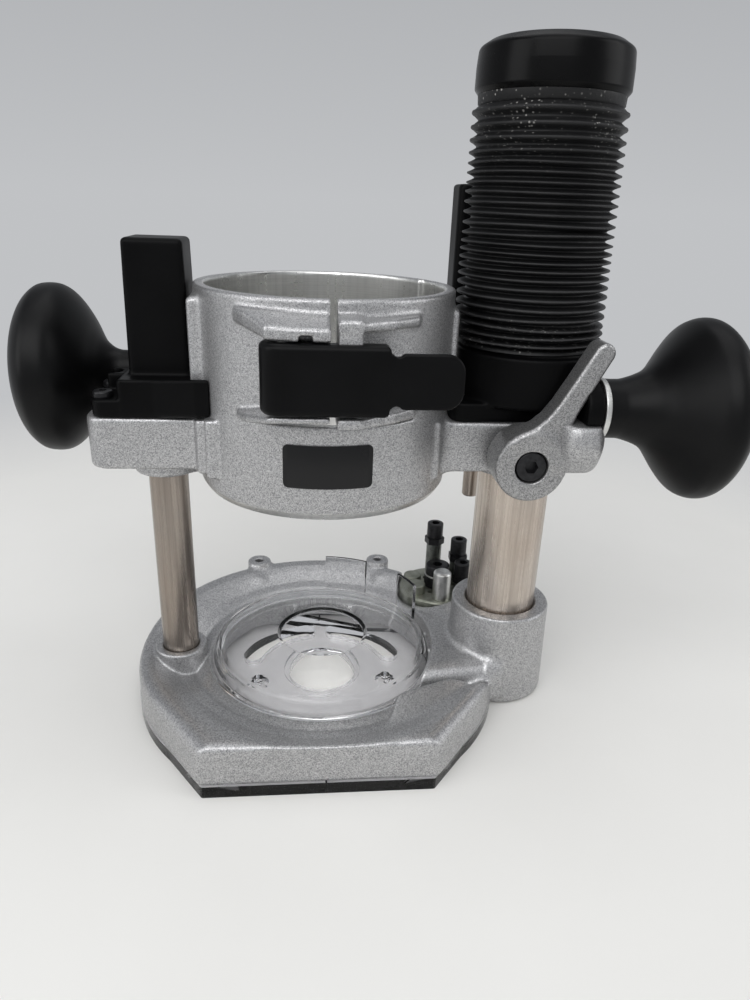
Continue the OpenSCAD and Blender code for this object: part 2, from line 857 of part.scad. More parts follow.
module clamp_pin() color([0.5, 0.5, 0.51]) {
    post(clamp_x, clamp_y, clamp_pin_r, lug_z0, lug_z1);
}

module clamp_lever() color([0.02, 0.02, 0.022]) {
    difference() {
        union() {
            post(clamp_x, clamp_y, clamp_eye_r, lever_z0, lever_z1);
            block([clamp_x, clamp_y - clamp_eye_r, lever_z0], [20, clamp_y - clamp_eye_r + 2.4, lever_z1]);
            for (z = [lever_z0, lever_z1 - 1.6])
                block([clamp_x, clamp_y - clamp_eye_r + 1, z], [15, clamp_y, z + 1.6]);
            block([19, clamp_y - clamp_eye_r + 0.3, lever_z0], [36.7, clamp_y - clamp_eye_r + 2.7, lever_z1 - 2]);
            block([19, clamp_y - clamp_eye_r + 0.3, lever_z0 + 5],
                [41.7, clamp_y - clamp_eye_r + 2.7, lever_z1 - 7]);
            for (z = [lever_z0 + 5, lever_z1 - 7])
                axle(36.7, z, 5, clamp_y - clamp_eye_r + 0.3, clamp_y - clamp_eye_r + 2.7);
        }
        block([clamp_x - 20, clamp_y - clamp_eye_r + 2.4, 150.7], [clamp_x + 9, -40, 158.3]);
        post(clamp_x, clamp_y, clamp_pin_r + 0.05, 130, 180);
        for (z = [lever_z0, lever_z1 - 2])
            axle(21.4, z, 1.5, -70, -50);
    }
}

module clamp_link() color([0.5, 0.5, 0.51]) {
    difference() {
        union() {
            post(clamp_x, clamp_y, 4.6, 151, 158);
            translate([clamp_x + 3, clamp_y, clamp_mid_z])
                rotate([0, 90, 0])
                    cylinder(r = 2.4, h = link_x1 - clamp_x - 3);
        }
        post(clamp_x, clamp_y, clamp_pin_r, 140, 170);
    }
}

module clamp_washer() color([0.5, 0.5, 0.51]) {
    translate([lug_x1, clamp_y, clamp_mid_z])
        rotate([0, 90, 0])
            difference() {
                cylinder(r = 4.4, h = 1.2);
                translate([0, 0, -1])
                    cylinder(r = 2.4, h = 4);
            }
}

module clamp_nut() color([0.4, 0.4, 0.41]) {
    translate([lug_x1 + 1.2, clamp_y, clamp_mid_z])
        rotate([0, 90, 0])
            difference() {
                cylinder(r = 4.6, h = 4, $fn = 6);
                translate([0, 0, -1])
                    cylinder(r = 2.4, h = 6);
            }
}

base_casting();
column_socket();
sole_plate();
sole_screws();
chip_shroud();
small_column();
small_column_pin();
large_column();
large_column_pin();
return_spring();
turret_pivot();
turret_disc();
turret_screw();
stop_screws();
stop_nuts();
stop_sleeve();
stop_pin();
motor_housing();
column_boss();
small_bush();
large_bush();
label_plate();
left_cover();
cover_screws();
bellows_base();
bellows();
bellows_cap();
left_handle();
right_handle();
handle_washers();
handle_studs();
handle_plugs();
depth_tower();
depth_plate();
tower_screws();
depth_rod();
depth_pointer();
rod_knob();
lock_stud();
lock_plug();
lock_lever();
lock_screw();
lock_spring();
clamp_pin();
clamp_lever();
clamp_link();
clamp_washer();
clamp_nut();
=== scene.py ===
import math

import bmesh
import bpy
import numpy as np
from mathutils import Matrix, Vector


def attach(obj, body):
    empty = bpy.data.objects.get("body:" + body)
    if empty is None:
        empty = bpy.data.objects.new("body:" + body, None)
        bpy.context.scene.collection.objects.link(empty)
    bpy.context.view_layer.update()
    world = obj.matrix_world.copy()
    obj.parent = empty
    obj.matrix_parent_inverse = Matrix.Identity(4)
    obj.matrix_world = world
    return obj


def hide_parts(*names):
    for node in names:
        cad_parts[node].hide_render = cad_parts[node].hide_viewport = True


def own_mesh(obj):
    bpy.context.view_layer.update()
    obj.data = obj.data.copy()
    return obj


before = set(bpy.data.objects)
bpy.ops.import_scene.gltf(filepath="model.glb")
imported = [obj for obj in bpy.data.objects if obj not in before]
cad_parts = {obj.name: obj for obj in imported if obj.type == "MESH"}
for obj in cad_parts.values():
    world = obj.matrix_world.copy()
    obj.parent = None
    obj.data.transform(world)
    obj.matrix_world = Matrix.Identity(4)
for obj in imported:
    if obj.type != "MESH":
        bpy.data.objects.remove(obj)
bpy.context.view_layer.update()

MM = 0.001
rng = np.random.default_rng(17)
LARGE = (80.0, 0.0)
SMALL = (-62.4, 0.0)
TURRET = (61.3, 52.0)
STATION_R = 13.6
ROD = (73.078, 45.2)
LOCK = (73.7, 118.8)
CLAMP = (-14.7, -54.3)

FACETS = ((-65.8, -43.5), (60.4, -47.2))
FRONT_CORNERS = (-46.0, 41.0)
DISC_CENTRE = (-1.3, 1.5)
SOLE_SCREWS = (52, 128, 232, 308)
LEFT_GRIP_Y, RIGHT_GRIP_Y = 20.0, -33.0
AXES = {"Z": Matrix(), "X": Matrix.Rotation(math.pi / 2, 4, "Y"), "-X": Matrix.Rotation(-math.pi / 2, 4, "Y"),
        "-Y": Matrix.Rotation(math.pi / 2, 4, "X")}

# ---------------------------------------------------------------- fields and surface nets


class Grid:
    """A block of sample points in millimetres, kept as three broadcastable axes."""

    def __init__(self, lo, hi, h):
        self.h = h
        self.lo = np.array(lo, float) - 2.5 * h
        n = [int(math.ceil((hi[i] + 2.5 * h - self.lo[i]) / h)) + 1 for i in range(3)]
        axes = [(self.lo[i] + h * np.arange(n[i])).astype(np.float32) for i in range(3)]
        self.x = axes[0][:, None, None]
        self.y = axes[1][None, :, None]
        self.z = axes[2][None, None, :]
        self.shape = tuple(n)


def smin(a, b, k):
    """Union of two distances with a fillet of size k."""
    if k <= 0:
        return np.minimum(a, b)
    h = np.maximum(k - np.abs(a - b), 0) / k
    return np.minimum(a, b) - h * h * (k * 0.25)


def smax(a, b, k):
    """Intersection of two distances with a rounded edge of size k."""
    return -smin(-a, -b, k)


def join2(a, b, e=0.0):
    """Intersection of two distances with an outer edge radius e."""
    a, b = a + e, b + e
    return np.minimum(np.maximum(a, b), 0) + np.hypot(np.maximum(a, 0), np.maximum(b, 0)) - e


def slab(v, lo, hi):
    return np.abs(v - (lo + hi) / 2) - (hi - lo) / 2


def cyl(g, cx, cy, r, z0, z1, e=0.0):
    return join2(np.hypot(g.x - cx, g.y - cy) - r, slab(g.z, z0, z1), e)


def cyl_x(g, cy, cz, r, x0, x1, e=0.0):
    return join2(np.hypot(g.y - cy, g.z - cz) - r, slab(g.x, x0, x1), e)


def cyl_y(g, cx, cz, r, y0, y1, e=0.0):
    return join2(np.hypot(g.x - cx, g.z - cz) - r, slab(g.y, y0, y1), e)


def box2(u, v, lo, hi, r):
    a, b = slab(u, lo[0], hi[0]) + r, slab(v, lo[1], hi[1]) + r
    return np.minimum(np.maximum(a, b), 0) + np.hypot(np.maximum(a, 0), np.maximum(b, 0)) - r


def box(g, lo, hi, r=2.0, e=1.0):
    """Box with plan corners of radius r and top and bottom edges of radius e."""
    return join2(box2(g.x, g.y, lo, hi, r), slab(g.z, lo[2], hi[2]), e)


def poly2(u, v, pts):
    """Signed distance to a polygon, negative inside."""
    pts = np.array(pts, float)
    d = np.full(np.broadcast(u, v).shape, 1e9, np.float32)
    inside = np.zeros(d.shape, bool)
    for a, b in zip(pts, np.roll(pts, -1, axis=0)):
        e = b - a
        wu, wv = u - a[0], v - a[1]
        t = np.clip((wu * e[0] + wv * e[1]) / max(e @ e, 1e-9), 0, 1)
        d = np.minimum(d, (wu - e[0] * t) ** 2 + (wv - e[1] * t) ** 2)
        c = (a[1] <= v) & (b[1] > v) | (a[1] > v) & (b[1] <= v)
        if abs(e[1]) > 1e-9:
            inside ^= c & (u < a[0] + e[0] * (v - a[1]) / e[1])
    d = np.sqrt(d)
    return np.where(inside, -d, d)


def nets(F, g):
    """Surface nets of the field's zero level, pulled onto it, as vertices in mm and quads."""
    s = F < 0
    c = [slice(0, -1), slice(1, None)]
    count = sum(s[c[i], c[j], c[k]].astype(np.int8) for i in (0, 1) for j in (0, 1) for k in (0, 1))
    act = (count > 0) & (count < 8)
    ids = np.full(act.shape, -1, np.int64)
    I, J, K = np.nonzero(act)
    ids[I, J, K] = np.arange(len(I))
    acc = np.zeros((len(I), 3))
    cnt = np.zeros(len(I))
    corners = [(i, j, k) for i in (0, 1) for j in (0, 1) for k in (0, 1)]
    vals = {q: F[I + q[0], J + q[1], K + q[2]] for q in corners}
    for a in corners:
        for ax in range(3):
            if a[ax]:
                continue
            b = tuple(1 if i == ax else a[i] for i in range(3))
            va, vb = vals[a], vals[b]
            m = (va < 0) != (vb < 0)
            t = np.where(m, va / np.where(m, va - vb, 1), 0)
            p = np.repeat(np.array([a], float), len(I), 0)
            p[:, ax] += t
            acc += p * m[:, None]
            cnt += m
    pos = acc / cnt[:, None] + np.stack([I, J, K], 1)
    shape = np.array(F.shape)

    def sample(p):
        q = np.clip(p, 0, shape - 1.001)
        b = q.astype(int)
        f = q - b
        out = 0
        for i, j, k in corners:
            w = f[:, 0] if i else 1 - f[:, 0]
            w = w * (f[:, 1] if j else 1 - f[:, 1]) * (f[:, 2] if k else 1 - f[:, 2])
            out = out + w * F[b[:, 0] + i, b[:, 1] + j, b[:, 2] + k]
        return out

    for _ in range(2):
        d = sample(pos)
        half = np.eye(3) * 0.5
        grad = np.stack([sample(pos + half[i]) - sample(pos - half[i]) for i in range(3)], 1)
        n2 = np.maximum((grad**2).sum(1), 0.05 * g.h**2)
        step = np.clip(-(d / n2)[:, None] * grad, -0.4, 0.4)
        pos = pos + step
    faces = []
    for ax in range(3):
        o = [i for i in range(3) if i != ax]
        sl0 = [slice(1, -1)] * 3
        sl1 = [slice(1, -1)] * 3
        sl0[ax], sl1[ax] = slice(0, -1), slice(1, None)
        a, b = s[tuple(sl0)], s[tuple(sl1)]
        P = np.stack(np.nonzero(a != b), 1)
        base = P.copy()
        base[:, o[0]] += 1
        base[:, o[1]] += 1
        flip = a[tuple(P.T)]
        quad = []
        for du, dv in ((-1, -1), (0, -1), (0, 0), (-1, 0)):
            q = base.copy()
            q[:, o[0]] += du
            q[:, o[1]] += dv
            quad.append(ids[tuple(q.T)])
        quad = np.stack(quad, 1)
        if ax == 1:
            flip = ~flip
        quad[~flip] = quad[~flip][:, ::-1]
        faces.append(quad)
    return pos * g.h + g.lo, np.concatenate(faces)


def placed(name, data):
    """A new object in the scene."""
    ob = bpy.data.objects.new(name, data)
    bpy.context.scene.collection.objects.link(ob)
    return ob


def mesh_from(name, verts, faces):
    """A smooth mesh from vertices in mm and faces of one size."""
    me = bpy.data.meshes.new(name)
    n = len(verts)
    me.vertices.add(n)
    me.vertices.foreach_set("co", (np.asarray(verts, float) * MM).astype(np.float32).ravel())
    size = faces.shape[1]
    me.loops.add(len(faces) * size)
    me.loops.foreach_set("vertex_index", faces.astype(np.int32).ravel())
    me.polygons.add(len(faces))
    me.polygons.foreach_set("loop_start", (np.arange(len(faces)) * size).astype(np.int32))
    me.polygons.foreach_set("use_smooth", np.full(len(faces), True))
    me.update(calc_edges=True)
    me.validate()
    return placed(name, me)


def solid(name, F, g):
    v, f = nets(F.astype(np.float32), g)
    return mesh_from(name, v, f)


# ---------------------------------------------------------------- mesh helpers


def done(ob, mat, body, slot_name, *nodes):
    """Gives a finished piece its material and its body, and hides the nodes that it stands for; the slot name is not
    used.
    """
    if not isinstance(mat, (list, tuple)):
        mat = [mat]
    for m in mat:
        ob.data.materials.append(m)
    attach(ob, body)
    if nodes:
        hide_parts(*nodes)
    return ob


def finish_bm(bm, name, angle=35):
    bmesh.ops.remove_doubles(bm, verts=bm.verts, dist=1e-7)
    bmesh.ops.recalc_face_normals(bm, faces=bm.faces)
    for f in bm.faces:
        f.smooth = True
    for e in bm.edges:
        if len(e.link_faces) == 2 and e.calc_face_angle(0) > math.radians(angle):
            e.smooth = False
    me = bpy.data.meshes.new(name)
    bm.to_mesh(me)
    bm.free()
    return placed(name, me)


def round_profile(pts, r, n=4):
    """Rounds each marked corner: pts are (radius, height) or (radius, height, corner radius)."""
    out = []
    m = len(pts)
    for i, p in enumerate(pts):
        rad = p[2] if len(p) > 2 else r
        a, b, c = (np.array(pts[(i + d) % m][:2], float) for d in (-1, 0, 1))
        if rad <= 0 or b[0] <= 0:
            out.append(b)
            continue
        u, w = a - b, c - b
        lu, lw = np.linalg.norm(u), np.linalg.norm(w)
        u, w = u / lu, w / lw
        half = math.acos(np.clip(u @ w, -1, 1)) / 2
        t = min(rad / max(math.tan(half), 1e-3), lu * 0.48, lw * 0.48)
        p0, p1 = b + u * t, b + w * t
        for k in range(n + 1):
            s = k / n
            out.append((1 - s) ** 2 * p0 + 2 * s * (1 - s) * b + s * s * p1)
    return out


def lathe(name, pts, at=(0, 0, 0), axis="Z", seg=96, closed=True, wobble=None, angle=35, sweep=None):
    """Turns a closed profile of (radius, height) about an axis."""
    bm = bmesh.new()
    full = sweep is None
    steps = seg if full else seg + 1
    rings = []
    for i in range(steps):
        a = 2 * math.pi * i / seg if full else sweep[0] + (sweep[1] - sweep[0]) * i / seg
        ring = []
        for j, (r, z) in enumerate(pts):
            if wobble:
                r, z = wobble(r, z, a, j)
            ring.append(bm.verts.new((r * math.cos(a) * MM, r * math.sin(a) * MM, z * MM)))
        rings.append(ring)
    m = len(pts)
    for i in range(steps if full else steps - 1):
        A, B = rings[i], rings[(i + 1) % steps]
        for j in range(m if closed else m - 1):
            k = (j + 1) % m
            if pts[j][0] < 1e-9 and pts[k][0] < 1e-9:
                continue
            vs = [A[j], B[j], B[k], A[k]]
            if pts[j][0] < 1e-9:
                vs = [A[j], B[k], A[k]]
            elif pts[k][0] < 1e-9:
                vs = [A[j], B[j], A[k]]
            bm.faces.new(vs)
    if not full:
        bm.faces.new(rings[0])
        bm.faces.new(rings[-1][::-1])
    bm.transform(Matrix.Translation(Vector(at) * MM) @ AXES[axis])
    return finish_bm(bm, name, angle)


def bake(ob):
    """Applies an object's modifiers to its mesh."""
    dg = bpy.context.evaluated_depsgraph_get()
    me = bpy.data.meshes.new_from_object(ob.evaluated_get(dg), depsgraph=dg)
    old = ob.data
    ob.modifiers.clear()
    ob.data = me
    if old.users == 0:
        bpy.data.meshes.remove(old)
    return ob


def boolean(ob, other, op="DIFFERENCE"):
    """Cuts or keeps one object by another, which is used up."""
    m = ob.modifiers.new("cut", "BOOLEAN")
    m.operation, m.solver, m.object = op, "EXACT", other
    bake(ob)
    bpy.data.objects.remove(other)
    return ob


def sharp_smooth(ob, angle=35):
    """Smooth shading with sharp edges where the faces turn by more than the angle."""
    bm = bmesh.new()
    bm.from_mesh(ob.data)
    bmesh.ops.remove_doubles(bm, verts=bm.verts, dist=1e-7)
    for f in bm.faces:
        f.smooth = True
    for e in bm.edges:
        e.smooth = not (len(e.link_faces) == 2 and e.calc_face_angle(0) > math.radians(angle))
    bm.to_mesh(ob.data)
    bm.free()
    return ob


def prism(name, pts, z0, z1, at=(0, 0, 0), axis="Z", bevel=0.3):
    """A straight prism over a 2D outline, with bevelled edges."""
    bm = bmesh.new()
    low = [bm.verts.new((x * MM, y * MM, z0 * MM)) for x, y in pts]
    top = [bm.verts.new((x * MM, y * MM, z1 * MM)) for x, y in pts]
    bm.faces.new(low[::-1])
    bm.faces.new(top)
    for i in range(len(pts)):
        j = (i + 1) % len(pts)
        bm.faces.new((low[i], low[j], top[j], top[i]))
    if bevel:
        edges = [e for e in bm.edges if e.calc_face_angle(0) > math.radians(25)]
        bmesh.ops.bevel(bm, geom=edges, offset=bevel * MM, segments=2, profile=0.5, affect="EDGES")
    bm.transform(Matrix.Translation(Vector(at) * MM) @ AXES[axis])
    return finish_bm(bm, name, 30)


def hexagon(r, turn=0.0):
    angles = [math.radians(60 * k + turn) for k in range(6)]
    return [(r * math.cos(a), r * math.sin(a)) for a in angles]


def join(name, *obs):
    """One object from several, each already in place."""
    bm = bmesh.new()
    for o in obs:
        bm.from_mesh(o.data)
    for o in obs:
        bpy.data.objects.remove(o)
    me = bpy.data.meshes.new(name)
    bm.to_mesh(me)
    bm.free()
    return placed(name, me)


def socket_screw(name, at, axis, head_r, head_h, shank_r, shank_h, hex_r, crown=0.5, seg=48):
    """A screw with a round head and a hexagon socket; its seat is at the given point."""
    pts = round_profile([(0, -shank_h, 0), (shank_r, -shank_h, 0.3), (shank_r, 0, 0), (head_r, 0, 0.2),
                         (head_r, head_h, crown), (0, head_h, 0)], 0.2)
    ob = lathe(name, pts, (0, 0, 0), "Z", seg)
    cutter = prism("cutter", hexagon(hex_r), head_h * 0.45, head_h + 2, bevel=0)
    boolean(ob, cutter)
    sharp_smooth(ob)
    ob.data.transform(Matrix.Translation(Vector(at) * MM) @ AXES[axis])
    return ob


# ---------------------------------------------------------------- materials


class Nodes:
    """Short calls for building one material."""

    def __init__(self, name):
        self.mat = bpy.data.materials.new(name)
        self.mat.use_nodes = True
        self.t = self.mat.node_tree
        self.t.nodes.clear()
        self.out = self.t.nodes.new("ShaderNodeOutputMaterial")
        self.bsdf = self.t.nodes.new("ShaderNodeBsdfPrincipled")
        self.t.links.new(self.bsdf.outputs[0], self.out.inputs["Surface"])
        self.co = self.t.nodes.new("ShaderNodeTexCoord").outputs["Object"]

    def set(self, **kw):
        for k, v in kw.items():
            self.bsdf.inputs[k.replace("_", " ")].default_value = v
        return self

    def link(self, src, key):
        self.t.links.new(src, self.bsdf.inputs[key])

    def scaled(self, sx, sy, sz, co=None):
        m = self.t.nodes.new("ShaderNodeMapping")
        m.inputs["Scale"].default_value = (sx, sy, sz)
        self.t.links.new(co or self.co, m.inputs["Vector"])
        return m.outputs[0]

    def noise(self, scale, detail=2.0, rough=0.5, co=None):
        n = self.t.nodes.new("ShaderNodeTexNoise")
        n.inputs["Scale"].default_value = scale
        n.inputs["Detail"].default_value = detail
        n.inputs["Roughness"].default_value = rough
        self.t.links.new(co or self.co, n.inputs["Vector"])
        return n.outputs["Fac"]

    def cells(self, scale, out="Distance", co=None):
        n = self.t.nodes.new("ShaderNodeTexVoronoi")
        n.inputs["Scale"].default_value = scale
        self.t.links.new(co or self.co, n.inputs["Vector"])
        return n.outputs[out]

    def ramp(self, fac, stops):
        n = self.t.nodes.new("ShaderNodeValToRGB")
        els = n.color_ramp.elements
        while len(els) < len(stops):
            els.new(0.5)
        for e, (p, c) in zip(els, stops):
            e.position = p
            c = (c, c, c) if isinstance(c, (int, float)) else c
            e.color = (*c, 1)
        self.t.links.new(fac, n.inputs[0])
        return n.outputs[0]

    def math(self, op, a, b=0.0, clamp=False):
        n = self.t.nodes.new("ShaderNodeMath")
        n.operation = op
        n.use_clamp = clamp
        for i, v in enumerate((a, b)):
            if isinstance(v, (int, float)):
                n.inputs[i].default_value = v
            else:
                self.t.links.new(v, n.inputs[i])
        return n.outputs[0]

    def mix(self, fac, a, b, mode="MIX"):
        n = self.t.nodes.new("ShaderNodeMix")
        n.data_type = "RGBA"
        n.blend_type = mode
        for key, v in (("Factor", fac), ("A", a), ("B", b)):
            kind = "VALUE" if key == "Factor" else "RGBA"
            s = [i for i in n.inputs if i.name == key and i.type == kind][0]
            if isinstance(v, (int, float)):
                s.default_value = v
            elif isinstance(v, tuple):
                s.default_value = (*v, 1)
            else:
                self.t.links.new(v, s)
        return [o for o in n.outputs if o.type == "RGBA"][0]

    def bump(self, height, strength, distance):
        n = self.t.nodes.new("ShaderNodeBump")
        n.inputs["Strength"].default_value = strength
        n.inputs["Distance"].default_value = distance
        self.t.links.new(height, n.inputs["Height"])
        self.t.links.new(n.outputs[0], self.bsdf.inputs["Normal"])

    def axis(self, i, co=None):
        n = self.t.nodes.new("ShaderNodeSeparateXYZ")
        self.t.links.new(co or self.co, n.inputs[0])
        return n.outputs[i]

    def radius(self, cx, cy):
        """Distance in mm from an upright axis."""
        x = self.math("ADD", self.axis(0), -cx * MM)
        y = self.math("ADD", self.axis(1), -cy * MM)
        r2 = self.math("ADD", self.math("MULTIPLY", x, x), self.math("MULTIPLY", y, y))
        return self.math("MULTIPLY", self.math("SQRT", r2), 1000.0)


def cast_paint(name, dark=(0.24, 0.24, 0.247), light=(0.65, 0.648, 0.65)):
    m = Nodes(name)
    flake = m.cells(3000, "Color")
    grain = m.noise(2400, 2, 0.5)
    f = m.mix(0.5, flake, grain)
    col = m.ramp(f, [(0.28, dark), (0.5, tuple((a + b) / 2 for a, b in zip(dark, light))), (0.74, light)])
    broad = m.ramp(m.noise(14, 3), [(0.3, 0.93), (0.7, 1.0)])
    m.link(m.mix(1.0, col, broad, "MULTIPLY"), "Base Color")
    m.link(m.ramp(f, [(0.3, 0.50), (0.7, 0.34)]), "Roughness")
    m.set(Metallic=0.85, Coat_Weight=0.10, Coat_Roughness=0.25)
    m.bump(f, 0.30, 0.00016)
    return m.mat


def machined(name):
    m = Nodes(name)
    up = m.noise(1.0, 4, 0.6, m.scaled(420, 420, 9))
    rings = m.noise(1.0, 2, 0.5, m.scaled(6, 6, 1500))
    f = m.mix(0.35, up, rings)
    m.link(m.ramp(f, [(0.3, (0.55, 0.55, 0.54)), (0.7, (0.86, 0.86, 0.84))]), "Base Color")
    m.link(m.ramp(f, [(0.3, 0.38), (0.7, 0.24)]), "Roughness")
    m.set(Metallic=1.0)
    m.bump(f, 0.10, 0.0001)
    return m.mat


def satin_black(name, base=0.0018, rough=0.40, grain=1300, strength=0.25, level=0.07, specks=0.010):
    m = Nodes(name)
    g = m.noise(grain, 3, 0.6)
    broad = m.noise(30, 3, 0.6)
    tone = m.ramp(broad, [(0.3, (base, base, base * 1.08)), (0.75, (base * 1.7, base * 1.7, base * 1.85))])
    dust = m.ramp(m.cells(420), [(0.0, specks), (0.05, 0.0)])
    m.link(m.mix(1.0, tone, dust, "ADD"), "Base Color")
    m.link(m.ramp(broad, [(0.3, rough - 0.05), (0.7, rough + 0.07)]), "Roughness")
    m.set(Specular_IOR_Level=level)
    m.bump(g, strength, 0.00012)
    return m.mat


def bellows_rubber():
    m = Nodes("bellows_rubber")
    r = m.radius(LARGE[0] - 1.7, LARGE[1])
    # Lighter on the outermost crests of the folds, unevenly, and near black down in the folds.
    crest = m.ramp(m.math("DIVIDE", m.math("ADD", r, -25.6), 3.0), [(0.0, 0.0), (0.6, 0.10), (1.0, 1.0)])
    broad = m.noise(45, 4, 0.65)
    crest_lightening = m.math("MULTIPLY", crest, m.ramp(broad, [(0.35, 0.25), (0.7, 1.0)]))
    tone = m.mix(crest_lightening, (0.0030, 0.0030, 0.0034), (0.030, 0.030, 0.031))
    specks = m.ramp(m.cells(620), [(0.0, 1.0), (0.16, 0.9), (0.27, 0.0)])
    z = m.math("MULTIPLY", m.axis(2), 1000.0)
    ends = m.ramp(m.math("DIVIDE", m.math("ADD", z, -150.0), 100.0),
                  [(0.0, 0.9), (0.10, 0.55), (0.24, 0.0), (0.66, 0.05), (0.80, 0.75), (0.90, 1.0)])
    patch = m.ramp(m.noise(90, 4, 0.7), [(0.42, 0.0), (0.58, 1.0)])
    dust = m.math("MULTIPLY", m.math("MULTIPLY", specks, ends), patch)
    m.link(m.mix(m.math("MULTIPLY", dust, 0.8), tone, (0.40, 0.39, 0.37)), "Base Color")
    m.link(m.ramp(broad, [(0.3, 0.42), (0.7, 0.58)]), "Roughness")
    m.set(Specular_IOR_Level=0.38)
    m.bump(m.noise(700, 4, 0.65), 0.35, 0.0003)
    return m.mat


def column_steel(name, rust, shade=1.0):
    m = Nodes(name)
    streak = m.noise(1.0, 4, 0.6, m.scaled(700, 700, 14))
    cloud = m.noise(24, 4, 0.6)
    # A factor below 1 darkens the whole steel colour to stand in for the shade on the part: painted shade.
    low, high = (tuple(c * shade for c in rgb) for rgb in ((0.42, 0.37, 0.33), (0.68, 0.61, 0.54)))
    col = m.ramp(streak, [(0.3, low), (0.7, high)])
    col = m.mix(m.ramp(cloud, [(0.4, 0.0), (0.75, 0.6)]), col, (0.40, 0.32, 0.26))
    pit = m.ramp(m.cells(330), [(0.0, 1.0), (rust, 0.0)])
    where = m.ramp(m.noise(38, 3, 0.6), [(0.5, 0.0), (0.62, 1.0)])
    col = m.mix(m.math("MULTIPLY", pit, where), col, (0.08, 0.04, 0.022))
    m.link(col, "Base Color")
    m.link(m.ramp(streak, [(0.3, 0.34), (0.7, 0.22)]), "Roughness")
    m.set(Metallic=1.0)
    m.bump(streak, 0.08, 0.0001)
    return m.mat


def metal(name, lo, hi, r0=0.28, r1=0.42, scale=300, metallic=1.0, bump=0.08):
    m = Nodes(name)
    n = m.noise(scale, 4, 0.6)
    m.link(m.ramp(n, [(0.3, lo), (0.7, hi)]), "Base Color")
    m.link(m.ramp(m.noise(scale * 0.3, 3), [(0.3, r0), (0.7, r1)]), "Roughness")
    m.set(Metallic=metallic)
    m.bump(n, bump, 0.0001)
    return m.mat


def clear_plastic(name, tint, rough, ior):
    """Clear moulded plastic that lets lamp light through to what lies behind it."""
    m = Nodes(name)
    haze = m.noise(180, 4, 0.6)
    scratch = m.noise(1.0, 2, 0.5, m.scaled(90, 1500, 90))
    m.link(m.ramp(haze, [(0.3, tuple(c * 0.97 for c in tint)), (0.7, tint)]), "Base Color")
    m.link(m.ramp(m.mix(0.4, haze, scratch), [(0.35, rough), (0.8, rough + 0.05)]), "Roughness")
    m.set(IOR=ior, Transmission_Weight=1.0)
    path = m.t.nodes.new("ShaderNodeLightPath")
    through = m.t.nodes.new("ShaderNodeBsdfTransparent")
    through.inputs["Color"].default_value = (*(c * 0.93 for c in tint), 1)
    mix = m.t.nodes.new("ShaderNodeMixShader")
    m.t.links.new(path.outputs["Is Shadow Ray"], mix.inputs[0])
    m.t.links.new(m.bsdf.outputs[0], mix.inputs[1])
    m.t.links.new(through.outputs[0], mix.inputs[2])
    m.t.links.new(mix.outputs[0], m.out.inputs["Surface"])
    return m.mat


def stage_paint(name, a, b, far):
    """Pale matt paint that goes over to the studio's own grey away from the object."""
    m = Nodes(name)
    m.link(m.ramp(m.noise(5, 4, 0.55), [(0.3, a), (0.7, b)]), "Base Color")
    m.link(m.ramp(m.noise(260, 3), [(0.3, 0.55), (0.7, 0.68)]), "Roughness")
    m.set(Specular_IOR_Level=0.25)
    m.bump(m.noise(700, 3), 0.05, 0.0002)
    glow = m.t.nodes.new("ShaderNodeEmission")
    glow.inputs["Color"].default_value = (*far, 1)
    mix = m.t.nodes.new("ShaderNodeMixShader")
    fade = m.ramp(m.math("DIVIDE", m.radius(0, 0), 1000.0), [(0.34, 0.0), (0.60, 1.0)])
    m.t.links.new(fade, mix.inputs[0])
    m.t.links.new(m.bsdf.outputs[0], mix.inputs[1])
    m.t.links.new(glow.outputs[0], mix.inputs[2])
    m.t.links.new(mix.outputs[0], m.out.inputs["Surface"])
    return m.mat


STUDIO = (0.53, 0.54, 0.555)
CAST = cast_paint("silver_cast_paint")
# The lock lever's silver paint is the cast paint made darker all over: painted shade.
SHADED_LEVER_CAST = cast_paint("silver_paint_shaded_lever", (0.19, 0.19, 0.193), (0.53, 0.527, 0.525))
MACHINED = machined("machined_bore")
PLASTIC = satin_black("satin_black_plastic")
KNOB = satin_black("black_handle_plastic", 0.0022, 0.38, 1500, 0.18, 0.15, 0.003)
SHEET = satin_black("black_coated_sheet", 0.0022, 0.33, 1700, 0.18, 0.10)
LABEL = satin_black("blank_label", 0.0040, 0.28, 600, 0.05, 0.30)
CAP = satin_black("bellows_cap_plastic", 0.0020, 0.30, 500, 0.06, 0.10, 0.01)
RUBBER = bellows_rubber()
# The small column and the depth rod take the column steel darkened to 0.54 of its colour: painted shade.
STEEL_S = column_steel("small_column_steel", 0.05, 0.54)
STEEL_L = column_steel("large_column_steel", 0.16)
BRIGHT = metal("bright_plated_steel", (0.50, 0.50, 0.49), (0.76, 0.76, 0.74))
SPRING = metal("oiled_spring_steel", (0.22, 0.22, 0.23), (0.42, 0.42, 0.43), 0.25, 0.4)
OLIVE = metal("olive_plating", (0.20, 0.21, 0.175), (0.40, 0.41, 0.35), 0.3, 0.45, 220, 0.85)
OXIDE = metal("black_oxide", (0.006, 0.006, 0.007), (0.026, 0.026, 0.028), 0.28, 0.42, 600, 0.5, 0.15)
GREY_OXIDE = metal("grey_sleeve", (0.10, 0.11, 0.10), (0.26, 0.27, 0.25), 0.3, 0.4, 400, 0.9)
BRONZE = metal("sintered_bronze", (0.36, 0.24, 0.11), (0.62, 0.45, 0.22), 0.35, 0.5, 500)
CLEAR = clear_plastic("clear_shroud", (0.99, 0.99, 0.99), 0.012, 1.33)
SMOKE = clear_plastic("clear_sole", (0.90, 0.90, 0.92), 0.015, 1.36)
RED = metal("red_pointer", (0.42, 0.03, 0.02), (0.55, 0.05, 0.03), 0.3, 0.4, 200, 0.0)
